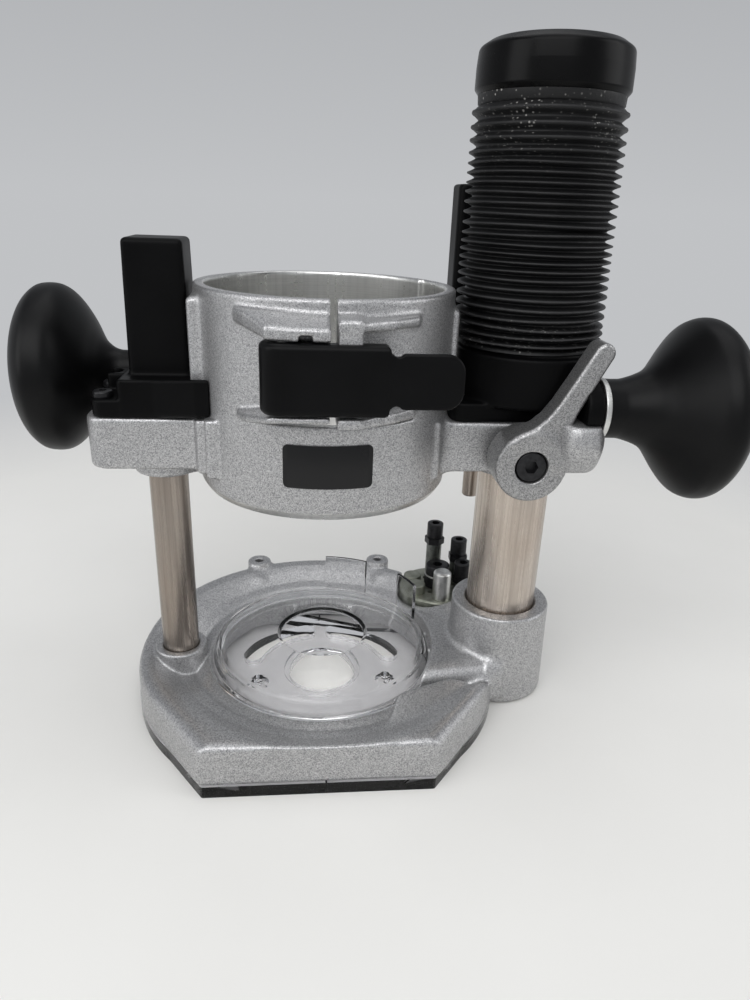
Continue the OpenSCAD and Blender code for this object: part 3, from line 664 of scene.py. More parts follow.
PLATE = metal("scale_plate", (0.60, 0.60, 0.60), (0.78, 0.78, 0.77), 0.35, 0.45, 200, 0.7)
INK = satin_black("mark_ink", 0.004, 0.5)
FLOOR = stage_paint("pale_floor", (0.760, 0.752, 0.725), (0.800, 0.792, 0.765), STUDIO)

# ---------------------------------------------------------------- base casting


def base_casting():
    g = Grid((-82, -71, 0), (104, 82, 43), 0.72)
    x, y, z = g.x, g.y, g.z
    X2, Y2 = g.x[:, :, 0], g.y[:, :, 0]
    r = np.hypot(X2, Y2)
    ring = np.hypot(x, y)
    top = np.interp(r, [48, 55.5, 57, 62, 68.5, 72.5, 76], [16, 16, 16.7, 17.7, 20.5, 21.7, 22.0])
    dip = np.exp(-(((X2 + 62) / 14.0) ** 2 + ((Y2 + 2) / 22.0) ** 2)) * np.clip((r - 50) / 6, 0, 1)
    top = top - 7.0 * dip
    lane = np.abs(Y2 + 33.0 - 0.2 * (X2 - 36)) * np.where(X2 < 70, 1, 2)
    top = top - 6.0 * np.exp(-((lane / 5.5) ** 2)) * np.clip((X2 - 34) / 8, 0, 1)
    disc = np.hypot(X2 - DISC_CENTRE[0], Y2 - DISC_CENTRE[1]) - 78.6
    facets = poly2(X2, Y2, [FACETS[0], (FRONT_CORNERS[0], -72), (FRONT_CORNERS[1], -72), FACETS[1]]) + 0.1
    side = np.minimum(disc, facets)[:, :, None]
    front = (-70.2 - Y2)[:, :, None]
    low = (z - top[:, :, None]) * 0.95
    soft = np.clip((Y2 + 52) / 30, 0, 1)[:, :, None]
    F = smax(low, side, 4.5) * soft + smax(low, side, 6.5) * (1 - soft)
    F = smax(F, front, 1.6)
    shelf = poly2(X2, Y2, [(30, -37.6), (53.3, -30.0), (58.5, -31.2), (62.9, -34.4), (66, -40.2), (70, -52),
                           (54, -66), (38, -70), (22, -60)])
    rise = 20.9 - 0.17 * np.clip((-30.0 + 0.33 * (X2 - 53.3) - Y2), 0, 40) - 0.05 * np.clip(50 - X2, 0, 30)
    shelf = smax((z - rise[:, :, None]) * 0.97, shelf[:, :, None], 1.4)
    F = smin(F, smax(smax(shelf, side + 0.4, 4.0), 49.2 - ring, 0.8), 1.6)
    F = smax(F, 48.0 - ring, 0.8)
    ridge = (22.2 + 0.035 * (Y2 + 23))[:, :, None]
    roll = (-Y2 - 28.4 + 0.13 * (X2 - 45))[:, :, None]
    rear = (((X2 - 47.1) * 9.5 + (Y2 - 20) * 13.8) / 16.75)[:, :, None]
    tunnel = smax(smax(z - ridge, roll, 8.0), slab(x, 30, 78), 1.5)
    tunnel = smax(smax(tunnel, rear, 0.9), 49.4 - ring, 0.8)
    F = smin(F, smax(tunnel, 5.0 - z, 0.5), 2.4)
    cone = np.hypot(x - LARGE[0], y - LARGE[1]) - (22.2 - 0.8 * (z - 0.6) / 41)
    socket = join2(cone, slab(z, 0.6, 42.4), 1.1)
    F = smin(smax(F, 5.0 - z, 0.5), socket, 3.0)
    F = smin(F, cyl(g, *SMALL, 11.2, 5, 21.4, 0.9), 1.4)
    F = smin(F, cyl(g, *TURRET, 21.9, 5, 13.6, 1.2), 3.0)
    F = smax(F, -cyl(g, *TURRET, 20.5, 13.1, 60), 0.7)
    for s in (-1, 1):
        F = smin(F, cyl(g, s * 32, 74, 6.0, 5, 24.2, 0.7), 2.5)
        bump = np.sqrt((x - s * 32) ** 2 + (np.clip(y, 61.5, 78) - y) ** 2 + (z - 14.8) ** 2) - 5.7
        F = smin(F, bump, 2.2)
    F = smax(F, -cyl(g, *SMALL, 7.75, 8, 40), 0.5)
    F = smax(F, -cyl(g, *LARGE, 15.05, 8, 60), 0.5)
    F = smax(F, -cyl(g, *LARGE, 15.7, 41.4, 60), 0.4)
    F = smax(F, -box(g, (46, -9, 7.5), (80, 9, 18.5), 1, 1), 0.5)
    for s in (-1, 1):
        F = smax(F, -cyl(g, s * 32, 74, 2.2, 13, 30), 0.5)
        F = smax(F, -cyl_y(g, s * 32, 14.6, 3.0, 55, 95), 0.5)
    F = smax(F, -cyl(g, *TURRET, 3.0, 8, 40), 0.3)
    F = smax(F, -cyl_x(g, 0, 14, 1.7, -74.6, -62), 0.3)
    F = smax(F, -cyl_x(g, 0, 22, 2.6, 90, 110), 0.3)
    for a in SOLE_SCREWS:
        c = math.radians(a)
        F = smax(F, -cyl(g, 65 * math.cos(c), 65 * math.sin(c), 2.0, 0, 12), 0.3)
    done(solid("casting_base", F, g), CAST, "base", "cast_metal", "base_casting", "column_socket")


def motor_housing():
    g = Grid((-89, -61, 101), (104, 59, 178), 0.72)
    x, y, z = g.x, g.y, g.z
    ring = np.hypot(x, y)
    tube = join2(ring - 48.5, slab(z, 101, 177), 0.9)
    left = box(g, (-88, -20, 110), (-30, 20, 130), 8, 1.6)
    left = smin(left, cyl(g, *SMALL, 12.6, 104, 112, 1.0), 2.5)
    right = box(g, (30, -22, 110), (101, 24, 130), 8, 1.6)
    right = smin(right, box(g, (40, 10, 110), (86, 58, 130), 8, 1.6), 3)
    right = smin(right, cyl(g, *LARGE, 20, 106, 112, 1.0), 2.5)
    knob = cyl_x(g, RIGHT_GRIP_Y, 128.6, 13.0, 84, 98.8, 5.0)
    knob = smin(knob, box(g, (82, -40, 117), (98.0, -12, 136), 4, 3), 4)
    knob = smax(smax(knob, z - 135.0, 1.0), np.minimum(z - 129.8, y + 22.2), 0.6)
    knob = smax(knob, -cyl_x(g, RIGHT_GRIP_Y, 138.9, 11.8, 96.9, 110), 0.3)
    right = smin(right, knob, 3.0)
    F = smin(tube, left, 6.0)
    F = smin(F, right, 5.0)
    boss = box(g, (-74, LEFT_GRIP_Y - 7, 128), (-40, LEFT_GRIP_Y + 7, 138.5), 2, 1)
    F = smin(F, smin(cyl_x(g, LEFT_GRIP_Y, 138.5, 7.8, -74, -40, 0.8), boss, 1.5), 4)
    X2, Y2 = x[:, :, 0], y[:, :, 0]
    wedge = poly2(X2, Y2, [(0, -40), (-30, -36), (-31, -41), (-27.5, -47), (-20, -57.8), (-10, -59.6),
                           (0.1, -59.6), (0.1, -40)])
    arm = poly2(X2, Y2, [(2.3, -59.2), (9.8, -58.8), (12.5, -56.5), (21.5, -51), (29.5, -43.5), (30.5, -38),
                         (2, -40)])
    for z0, z1, sign in ((136.6, 142.0, -1), (165.8, 173.0, 1)):
        slope = np.clip((x + 30) / 12, 0, 1) * 3.0
        lean = 0.27 * np.clip(-47.0 - y, 0, 14)
        inner = (z1 - 4.5 - slope - z) if sign > 0 else (z - z0 - 2.2 - slope)
        outer = (z - z1 + lean) if sign > 0 else (z0 + lean - z)
        F = smin(F, join2(wedge[:, :, None], np.maximum(inner, outer), 0.8), 1.4)
        span = slab(z, z1 - 4.6, z1 - 1.2) if sign > 0 else slab(z, z0 + 1.0, z0 + 4.8)
        F = smin(F, join2(arm[:, :, None], span, 0.8), 1.4)
    # right half of the clamp: a web between the two lugs and a block at each level in front of it
    F = smin(F, box(g, (2.3, -53.8, 137.8), (10, -44, 172.4), 1.0, 0.8), 1.2)
    F = smin(F, box(g, (2.3, -59.0, 146.4), (10, -44, 162.8), 0.8, 0.8), 0.8)
    F = smin(F, box(g, (2.3, -59.0, 160.6), (10.0, -44, 172.4), 0.8, 0.8), 0.8)
    # upright ribs beside the bores of the two arms
    F = smin(F, box(g, (-47.6, -24.0, 109.8), (-38.5, -14, 130.6), 2.2, 1.0), 1.6)
    F = smin(F, box(g, (-43.6, -29.8, 109.8), (-36.0, -14, 132.0), 2.2, 1.0), 0.8)
    F = smin(F, box(g, (-48.8, -20.5, 142), (-40, -11, 173.5), 1.6, 2), 2.0)
    F = smin(F, box(g, (38.0, -27.5, 109.5), (42.6, -20, 131), 1.6, 1), 2.0)
    F = smin(F, box(g, (40, -17, 138), (48.5, -6, 171), 1.6, 2), 2.0)
    # bore, tapered foot, front slot with its cross cut, and keyway
    F = smax(F, 44.45 - ring, 0.5)
    taper = (ring - (48.5 - np.clip(104.2 - z, 0, 4) * 0.62))
    F = np.where(z < 104.2, smax(F, np.where(ring < 60, taper, -9.0), 0.3), F)
    F = smax(F, -join2(slab(x, 0.2, 2.2), np.maximum(136.4 - z, y + 30)), 0.4)
    slit = join2(slab(z, 135.6, 137.1), np.maximum(np.maximum(slab(x, -27, 30), y + 25), 44 - ring))
    F = smax(F, -slit, 0.4)
    c, s = math.cos(math.radians(22)), math.sin(math.radians(22))
    u, v = x * c + y * s, -x * s + y * c
    F = smax(F, -join2(slab(u, 40, 45.9), slab(v, -6, 6)), 0.4)
    F = smax(F, -cyl(g, *SMALL, 9.6, 100, 150), 0.4)
    F = smax(F, -cyl(g, *LARGE, 17.0, 100, 150), 0.4)
    F = smax(F, -cyl(g, *ROD, 4.2, 100, 150), 0.4)
    F = smax(F, -cyl(g, *CLAMP, 2.1, 139.9, 168.2), 0.2)
    for z0, z1 in ((142.0, 147.0), (162.0, 167.6)):
        F = smax(F, -box(g, (-9.8, -62, z0), (-5.6, -56.0, z1), 0.5, 0.2), 0.3)
    F = smax(F, -cyl_y(g, LOCK[0], LOCK[1], 5.0, -60, 0), 0.4)
    F = smax(F, -cyl_x(g, LEFT_GRIP_Y, 138.5, 13.6, -100, -74), 0.6)
    F = smax(F, -cyl_x(g, -54.3, 154.5, 2.6, -5, 25), 0.3)
    ob = solid("casting_housing", F, g)
    done(ob, [CAST, MACHINED], "housing", "cast_metal", "motor_housing", "column_boss")
    me = ob.data
    n = len(me.polygons)
    cen = np.zeros(n * 3, np.float32)
    nor = np.zeros(n * 3, np.float32)
    me.polygons.foreach_get("center", cen)
    me.polygons.foreach_get("normal", nor)
    cen, nor = cen.reshape(-1, 3) / MM, nor.reshape(-1, 3)
    rr = np.hypot(cen[:, 0], cen[:, 1])
    idx = ((rr < 46.6) & ((rr < 45.0) | (nor[:, 2] < 0.3))) | ((rr < 49.2) & (cen[:, 2] < 104.0))
    idx |= (np.abs(cen[:, 0] - 1.2) < 1.5) & (np.abs(nor[:, 0]) > 0.8) & (cen[:, 1] < -40) & (rr < 48.6)
    me.polygons.foreach_set("material_index", idx.astype(np.int32))


# ---------------------------------------------------------------- sole, shroud, columns


def sole_outline(r_out, front):
    """Plan of the sole: a disc with two straight facets and a straight front, as one loop."""
    cx, cy = DISC_CENTRE
    left, right = FRONT_CORNERS
    facets = [(FACETS[0], (left, -front)), ((right, -front), FACETS[1])]
    pts = []
    for i in range(720):
        a = math.radians(i / 2)
        c, s = math.cos(a), math.sin(a)
        r = r_out
        for (x0, y0), (x1, y1) in facets:
            den = c * (y1 - y0) - s * (x1 - x0)
            t = ((x0 - cx) * (y1 - y0) - (y0 - cy) * (x1 - x0)) / den
            k = ((x0 - cx) * s - (y0 - cy) * c) / den
            if t > 0 and 0 <= k <= 1:
                r = max(r, t)
        flat = (front + cy) / -s if s < 0 else 1e9
        if flat < 1e8 and left <= cx + flat * c <= right:
            r = flat
        pts.append((cx + r * c, cy + r * s))
    return pts


def cutter_post(x, y, r, z0, z1, r2=None, seg=96):
    """An upright cylinder, or a cone when r2 is given, to cut with."""
    r2 = r if r2 is None else r2
    return lathe("cutter", [(0, z0), (r, z0), (r2, z1), (0, z1)], (x, y, 0), seg=seg)


def bearing(r, degrees, s):
    """A point at a distance and an angle from straight back; s mirrors it."""
    return r * s * math.sin(math.radians(degrees)), r * math.cos(math.radians(degrees))


def kidney(s):
    """Outline of the curved slot on one side of the sole."""
    r, w, a0, a1 = 34.2, 4.6, 12, 70
    out = [bearing(r + w, a, s) for a in range(a0, a1 + 1, 2)]
    for sign, end in ((1, a1), (-1, a0)):
        cx, cy = bearing(r, end, s)
        for b in range(15, 166, 15):
            dx, dy = bearing(w, end + b, s)
            out.append((cx + sign * dx, cy + sign * dy))
        if sign == 1:
            out += [bearing(r - w, t, s) for t in range(a1, a0 - 1, -2)]
    return out


def sole_plate():
    ob = prism("clear_sole", sole_outline(79, 71), 0, 5, bevel=0.35)
    cuts = [cutter_post(*LARGE, 22.6, -1, 6)]
    cuts += [cutter_post(0, 0, 15.1, -1, 6), cutter_post(0, 0, 17.45, 3.4, 6)]
    for s in (-1, 1):
        cuts.append(cutter_post(s * 28.8, -6.6, 4.6, -0.01, 2.4, 2.2, 48))
        cuts.append(cutter_post(s * 28.8, -6.6, 2.2, -1, 6, None, 48))
        pts = kidney(s)
        cuts.append(prism("cutter", pts if s < 0 else pts[::-1], -1, 6, bevel=0))
    for a in SOLE_SCREWS:
        c = math.radians(a)
        x, y = 65 * math.cos(c), 65 * math.sin(c)
        cuts.append(cutter_post(x, y, 4.6, -0.01, 2.4, 2.2, 48))
        cuts.append(cutter_post(x, y, 2.2, -1, 6, None, 48))
    for c in cuts:
        boolean(ob, c)
    sharp_smooth(ob, 20)
    done(ob, SMOKE, "base", "smoked_clear", "sole_plate")
    for i, y0 in enumerate((-70.9, 47.5)):
        y1 = y0 + (19.5 if i == 0 else 13.5)
        strip = [(-0.35, y0), (0.35, y0), (0.35, y1), (-0.35, y1)]
        done(prism(f"centre_line_{i + 1}", strip, 0.25, 0.45, bevel=0), INK, "base", "black_label")


def shroud():
    pts = [(45.8, 13.2, 0.2), (47.8, 13.2, 0.2), (47.8, 16.2, 0.2), (50.4, 16.2, 0.5), (50.4, 17.4, 0.5),
           (48.2, 17.8, 0.4), (47.0, 21.5, 0.8), (45.6, 23.0, 0.8), (43, 23.6, 0.6), (31, 24.9, 2),
           (20, 26, 0.6), (18.6, 25.4, 0.4), (18.6, 24.2, 0.3), (31, 22.9, 2), (43, 21.4, 0.6),
           (44.4, 20.4, 0.6), (45.2, 16, 0.5)]
    parts = [lathe("shroud_ring", round_profile(pts, 0.3, 3), seg=144)]
    for a0, a1 in ((19, 36), (60.5, 86.5)):
        tab = round_profile([(45.2, 20.8), (46.7, 20.8), (46.7, 40.0), (45.2, 40.0)], 0.4, 3)
        parts.append(lathe("tab", tab, seg=24, sweep=(math.radians(a0), math.radians(a1))))
    done(join("clear_chip_shroud", *parts), CLEAR, "base", "clear", "chip_shroud")


def columns():
    tube = [(0, 8, 0), (7.7, 8, 0.3), (7.7, 124, 0.7), (5.7, 124, 0.3), (5.7, 18, 0.3), (0, 18, 0)]
    ob = lathe("small_guide_column", round_profile(tube, 0.3), (*SMALL, 0))
    hole = [(0, -20), (1.62, -20), (1.62, 20), (0, 20)]
    boolean(ob, lathe("cutter", hole, (SMALL[0] - 12, 0, 14), "X", 32))
    done(sharp_smooth(ob), STEEL_S, "base", "column_steel", "small_column")
    tube = [(13.2, 8, 0.2), (15, 8, 0.3), (15, 172, 0.6), (13.2, 172, 0.4)]
    ob = lathe("dust_column", round_profile(tube, 0.3), (*LARGE, 0), seg=128)
    boolean(ob, prism("cutter", [(60, -8), (80, -8), (80, 8), (60, 8)], 7, 18.5, bevel=0))
    boolean(ob, lathe("cutter", [(0, 0), (2.52, 0), (2.52, 20), (0, 20)], (90, 0, 22), "X", 32))
    done(sharp_smooth(ob), STEEL_L, "base", "column_steel", "large_column")
    pin = round_profile([(0, 0, 0), (2.5, 0, 0.2), (2.5, 7.6, 0.4), (0, 7.6, 0)], 0.2)
    ob = lathe("dust_column_screw", pin, (93.4, 0, 22), "X", 32)
    boolean(ob, prism("cutter", hexagon(1.4), 4, 9, (93.4, 0, 22), "X", 0))
    done(sharp_smooth(ob), OXIDE, "base", "black_oxide", "large_column_pin")


def plunge_spring():
    """The return spring inside the small column, at one fixed length; the real one shortens as the housing goes down.
    """
    z0, z1, coil, wire, turns, steps, sides = 18.0, 184.0, 4.2, 0.75, 21, 24, 10
    bm = bmesh.new()
    rings = []
    for i in range(turns * steps + 1):
        a = 2 * math.pi * i / steps
        z = z0 + wire + (z1 - z0 - 2 * wire) * i / (turns * steps)
        ring = []
        for k in range(sides):
            b = 2 * math.pi * k / sides
            r = coil + wire * math.cos(b)
            co = (SMALL[0] + r * math.cos(a), SMALL[1] + r * math.sin(a), z + wire * math.sin(b))
            ring.append(bm.verts.new([c * MM for c in co]))
        rings.append(ring)
    for A, B in zip(rings, rings[1:]):
        for k in range(sides):
            j = (k + 1) % sides
            bm.faces.new((A[k], A[j], B[j], B[k]))
    bm.faces.new(rings[0][::-1])
    bm.faces.new(rings[-1])
    ob = finish_bm(bm, "plunge_spring", 50)
    done(ob, SPRING, "base", "spring_steel", "return_spring")
    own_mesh(ob)


# ---------------------------------------------------------------- turret


def at_station(angle, z=0.0):
    """A point on the turret's ring of stops."""
    a = math.radians(angle)
    return (TURRET[0] + STATION_R * math.cos(a), TURRET[1] + STATION_R * math.sin(a), z)


def turret():
    pts = [(3.05, 13.4, 0.1), (19.2, 13.4, 0.3), (19.6, 14, 0.4), (19.6, 19.2, 0.8), (18.8, 20, 0.5),
           (3.05, 20, 0.2)]
    ob = lathe("turret_plate", round_profile(pts, 0.3), (*TURRET, 0), seg=128)
    for a in (-30, 30, 90):
        boolean(ob, cutter_post(*at_station(a)[:2], 2.5, 10, 60, None, 40))
    for k in range(6):
        x, y, _ = at_station(60 * k)
        hole = [c + (v - c) * 0.66 for c, v in zip(TURRET, (x, y))]
        boolean(ob, cutter_post(*hole, 1.6, 10, 60, None, 32))
    sharp_smooth(ob)
    steps = []
    for a, high in ((150, 22.6), (210, 24.6)):
        prof = round_profile([(0, 19.9, 0), (4.6, 19.9, 0), (4.6, high, 0.6), (0, high, 0)], 0.4)
        steps.append(lathe("step", prof, at_station(a), seg=48))
    done(join("turret_plate", ob, *steps), OLIVE, "turret", "plated_metal", "turret_disc")
    heads = [socket_screw("s", at_station(-30, 29), "Z", 4.4, 7.4, 2.45, 10.5, 2.3, 0.6),
             socket_screw("s", at_station(30, 34.6), "Z", 4.2, 8.5, 2.45, 16.1, 2.3, 0.6),
             socket_screw("s", at_station(90, 41.5), "Z", 4.2, 8, 2.45, 23, 2.3, 0.6)]
    done(join("turret_set_screws", *heads), OXIDE, "turret", "black_oxide", "stop_screws")
    nuts = []
    for k, (a, z) in enumerate(((-30, 25.6), (30, 31.2), (90, 38.1))):
        nut = prism("nut", hexagon(5.2, 11 + 17 * k), z, z + 3.38, at_station(a), bevel=0.35)
        boolean(nut, cutter_post(*at_station(a)[:2], 2.5, 20, 50, None, 32))
        nuts.append(sharp_smooth(nut, 25))
    done(join("turret_lock_nuts", *nuts), OXIDE, "turret", "black_oxide", "stop_nuts")
    sleeves = []
    for a, z in ((90, 38.05), (30, 31.15), (-30, 25.55)):
        prof = round_profile([(2.55, 20.02), (4, 20.02), (4, z), (2.55, z)], 0.25)
        sleeves.append(lathe("sleeve", prof, at_station(a), seg=48))
    done(join("turret_sleeves", *sleeves), GREY_OXIDE, "turret", "bright_steel", "stop_sleeve")
    prof = round_profile([(0, 20.02, 0), (4.5, 20.02, 0.2), (4.5, 34.2, 0.9), (3.4, 35, 0.4), (0, 35, 0)], 0.2)
    ob = lathe("turret_fixed_pin", prof, at_station(-90), seg=64)
    done(ob, BRIGHT, "turret", "bright_steel", "stop_pin")
    collar = round_profile([(3.05, 20.3, 0), (6.6, 20.3, 0.3), (6.6, 26.1, 0.4), (3.05, 26.1, 0)], 0.2)
    collar = lathe("collar", collar, (*TURRET, 0), seg=64)
    head = socket_screw("head", (*TURRET, 27.0), "Z", 6.2, 5.0, 2.9, 0.95, 2.6, 0.8, 64)
    done(join("turret_button_screw", head, collar), OXIDE, "base", "black_oxide", "turret_screw")
    ring = round_profile([(3.0, 26.15), (6.5, 26.15), (6.5, 26.95), (3.0, 26.95)], 0.15)
    done(lathe("turret_screw_washer", ring, (*TURRET, 0), seg=64), BRIGHT, "base", "bright_steel")


# ---------------------------------------------------------------- left cover, bellows


def left_cover():
    g = Grid((-86, -28, 130), (-37, 13, 192), 0.6)
    x, y, z = g.x, g.y, g.z
    low = box(g, (-85, -20, 130), (-40, 10, 136.5), 5, 0.8)
    plan = poly2(x[:, :, 0], y[:, :, 0], [(-72.5, 8), (-72.5, -17.8), (-62, -18.0), (-46, -23.4),
                                          (-40.6, -23.4), (-39, 8)])
    tilt = 0.28 * np.clip(-18 - y, 0, 9)
    flange = join2(plan[:, :, None] - 2.6, slab(z - tilt, 130, 143.8), 1.4)
    t = np.clip((z - 141.5) / 50, 0, 1) * 0.9
    tower = join2(box2(x + 0 * z, y + 0 * z, (-72, -12), (-49.2, 11.4), 2.6) + t, slab(z, 130, 191.5), 1.8)
    F = smin(smin(low, flange, 1.0), tower, 1.6)
    F = smin(F, box(g, (-82, -3.5, 130), (-70, 10, 142.6), 1.5, 0.8), 0.8)
    F = smax(F, -cyl(g, *SMALL, 8.1, 120, 187), 0.3)
    for sy in (-14, 2):
        F = smax(F, -cyl(g, -81, sy, 1.9, 120, 150), 0.2)
    F = smax(F, -cyl(g, -81, 2, 4.0, 136.5, 150), 0.3)
    F = smax(F, -cyl_x(g, LEFT_GRIP_Y, 138.5, 13.5, -100, -74), 0.4)
    F = smax(F, 48.7 - np.hypot(x, y), 0.3)
    done(solid("spring_cover", F, g), PLASTIC, "housing", "black_plastic", "left_cover")
    heads = [socket_screw("s", (-81, sy, 136.5), "Z", 3.6, 2.4, 1.85, 16, 1.5, 0.9, 40) for sy in (-14, 2)]
    done(join("cover_screws_pair", *heads), OXIDE, "housing", "black_oxide", "cover_screws")


def bellows_base():
    g = Grid((45, -46, 130), (110, 30, 157.5), 0.6)
    x, y, z = g.x, g.y, g.z
    F = box(g, (46, -21.5, 130), (100, 24, 137.2), 6, 1.0)
    F = smin(F, cyl(g, *LARGE, 28.7, 136, 155.2, 1.2), 1.4)
    F = smin(F, cyl(g, *LARGE, 26, 153, 156.3, 0.4), 0.6)
    F = smax(F, -cyl(g, *LARGE, 17, 120, 170), 0.3)
    F = smax(F, 48.7 - np.hypot(x, y), 0.3)
    F = smax(F, -box(g, (46, 23.7, 120), (82.4, 60, 160), 0.5, 0.5), 0.3)
    F = smin(F, box(g, (84, -29.2, 135.2), (93.5, -16, 145.5), 3, 2.0), 1.5)
    disc = cyl_x(g, RIGHT_GRIP_Y, 138.9, 10.6, 91.0, 97.0, 0.5)
    F = np.minimum(F, np.maximum(disc, 135.2 - z))
    F = smax(F, -cyl_x(g, RIGHT_GRIP_Y, 138.5, 6.7, 95, 103), 0.2)
    done(solid("bellows_mount", F, g), PLASTIC, "housing", "black_plastic", "bellows_base")


def bellows():
    folds, z0, z1 = 24, 158.0, 238.4
    k = np.arange(folds)
    gaps = 1.0 + 0.12 * np.cos(2 * math.pi * (k - 4.5) / 9.5) + 0.055 * np.maximum(0, k - 16)
    starts = z0 + np.concatenate(([0], np.cumsum(gaps))) * (z1 - z0) / gaps.sum()
    prof = [(23.4, 156.4), (26.4, 156.4), (26.2, 157.6)]
    fold_of = [0, 0, 0]
    for k in range(folds):
        out = 28.6 - 1.4 * k / folds
        a, b = starts[k], starts[k + 1]
        for f, r in ((0.05, 24.9), (0.18, 25.6), (0.31, out - 1.0), (0.41, out - 0.18), (0.50, out),
                     (0.60, out - 0.15), (0.69, out - 1.0), (0.83, 25.6), (0.95, 24.9)):
            prof.append((r, a + (b - a) * f))
            fold_of.append(k)
    prof += [(25.4, 238.8), (25.6, 241.6), (23.4, 241.6)]
    fold_of += [folds] * 3
    amp = rng.normal(0, 1, (folds + 2, 6))

    def wobble(r, z, a, j):
        k = fold_of[j]
        out = min(max(r - 25, 0) / 3.5, 1)
        w = sum(amp[k][i] * math.sin((i + 1) * a + amp[k + 1][i] * 3) / (1 + i) for i in range(4))
        edge = min(1.0, max(0, (z - 157.4) / 3), max(0, (240 - z) / 3))
        return r + 0.06 * w * out, z + (0.14 * w * edge if r > 23.5 else 0)

    ob = lathe("dust_bellows", prof, (LARGE[0] - 1.4, LARGE[1], 0), seg=160, wobble=wobble, angle=75)
    lean = Matrix.Identity(4)
    lean[0][2] = -0.0055
    ob.data.transform(Matrix.Translation((0.0055 * 0.150, 0, 0)) @ lean)
    done(ob, RUBBER, "housing", "black_rubber", "bellows")
    cap = round_profile([(0, 255, 0), (22.8, 255, 0.5), (22.8, 242, 0.3), (25.6, 241.6, 0.4), (26.9, 243.2, 1.2),
                         (26.8, 250, 3), (26.3, 255.6, 2.4), (22.5, 258.0, 3.0), (12, 258.9, 5), (0, 259, 0)], 0.4, 6)
    ob = lathe("bellows_top_cap", cap, (LARGE[0] - 1.9, LARGE[1], 0), seg=160)
    done(ob, CAP, "housing", "black_plastic", "bellows_cap")


# ---------------------------------------------------------------- handles

# outlines of the two grips as (distance from the seat, radius); both have the same outer end
END = [(34.0, 32.5), (36.6, 30.8), (38.9, 28.2), (40.9, 24.4), (42.6, 19.0), (43.7, 12.5), (44.0, 7.4), (43.9, 6.4),
       (43.0, 6.2)]
LEFT_LINE = [(0, 7.6), (3, 7.5), (5.6, 7.7), (8.4, 8.9), (11.4, 11.7), (13.6, 15.6), (15.7, 19.9), (17.9, 23.6),
             (20.1, 26.8), (22.4, 29.5), (24.8, 31.5), (27.4, 32.7), (30.6, 33.0)] + END
RIGHT_LINE = [(-4.4, 10.8), (-2, 10.7), (0, 10.7), (2, 10.8), (4.6, 11.4), (8.2, 12.6), (11.9, 14.4), (15.3, 17.4),
              (18.9, 21.9), (22.6, 26.7), (26.2, 30.8), (28.6, 32.3), (31.2, 32.9)] + END


def flowing(pts, n=6):
    """A smooth line through the points, as (radius, distance)."""
    p = np.array([pts[0]] + pts + [pts[-1]], float)
    out = []
    for a, b, c, d in zip(p, p[1:], p[2:], p[3:]):
        for t in np.arange(n) / n:
            q = 2 * b + (c - a) * t + (2 * a - 5 * b + 4 * c - d) * t * t + (3 * b - a - 3 * c + d) * t**3
            q = 0.5 * q
            out.append((q[1], q[0]))
    out.append((pts[-1][1], pts[-1][0]))
    return out


def handles():
    left, right = (-76, LEFT_GRIP_Y), (103.5, RIGHT_GRIP_Y)
    for name, (x, y), z, axis, line, node in (("left_grip", left, 139.3, "-X", LEFT_LINE, "left_handle"),
                                              ("right_grip", right, 139.1, "X", RIGHT_LINE, "right_handle")):
        start = line[0][0]
        pts = [(0, start + 0.3), (line[0][1] - 0.6, start + 0.02)] + flowing(line) + [(0, 43.0)]
        ob = lathe(name, pts, (x, y, z), axis, 192, angle=60)
        done(ob, KNOB, "housing", "black_plastic", node)
    parts = []
    for x, y, axis, r in ((-74, LEFT_GRIP_Y, "-X", 9.4), (97.1, RIGHT_GRIP_Y, "X", 11.3)):
        prof = round_profile([(4, 0.02), (r, 0.02), (r, 1.98), (4, 1.98)], 0.3)
        parts.append(lathe("w", prof, (x, y, 138.9), axis, 96))
    done(join("grip_washers", *parts), BRIGHT, "housing", "bright_steel", "handle_washers")
    parts = []
    for (x, y), axis in ((left, "-X"), (right, "X")):
        prof = round_profile([(0, 42.6, 0), (5.9, 42.6, 0.2), (5.9, 43.4, 0.4), (4.6, 43.7, 0.2), (4.2, 43.2, 0.2),
                              (0, 43.2, 0)], 0.2)
        parts.append(lathe("p", prof, (x, y, 139.2), axis, 64))
    done(join("grip_plugs", *parts), PLASTIC, "housing", "black_plastic", "handle_plugs")


# ---------------------------------------------------------------- depth stop


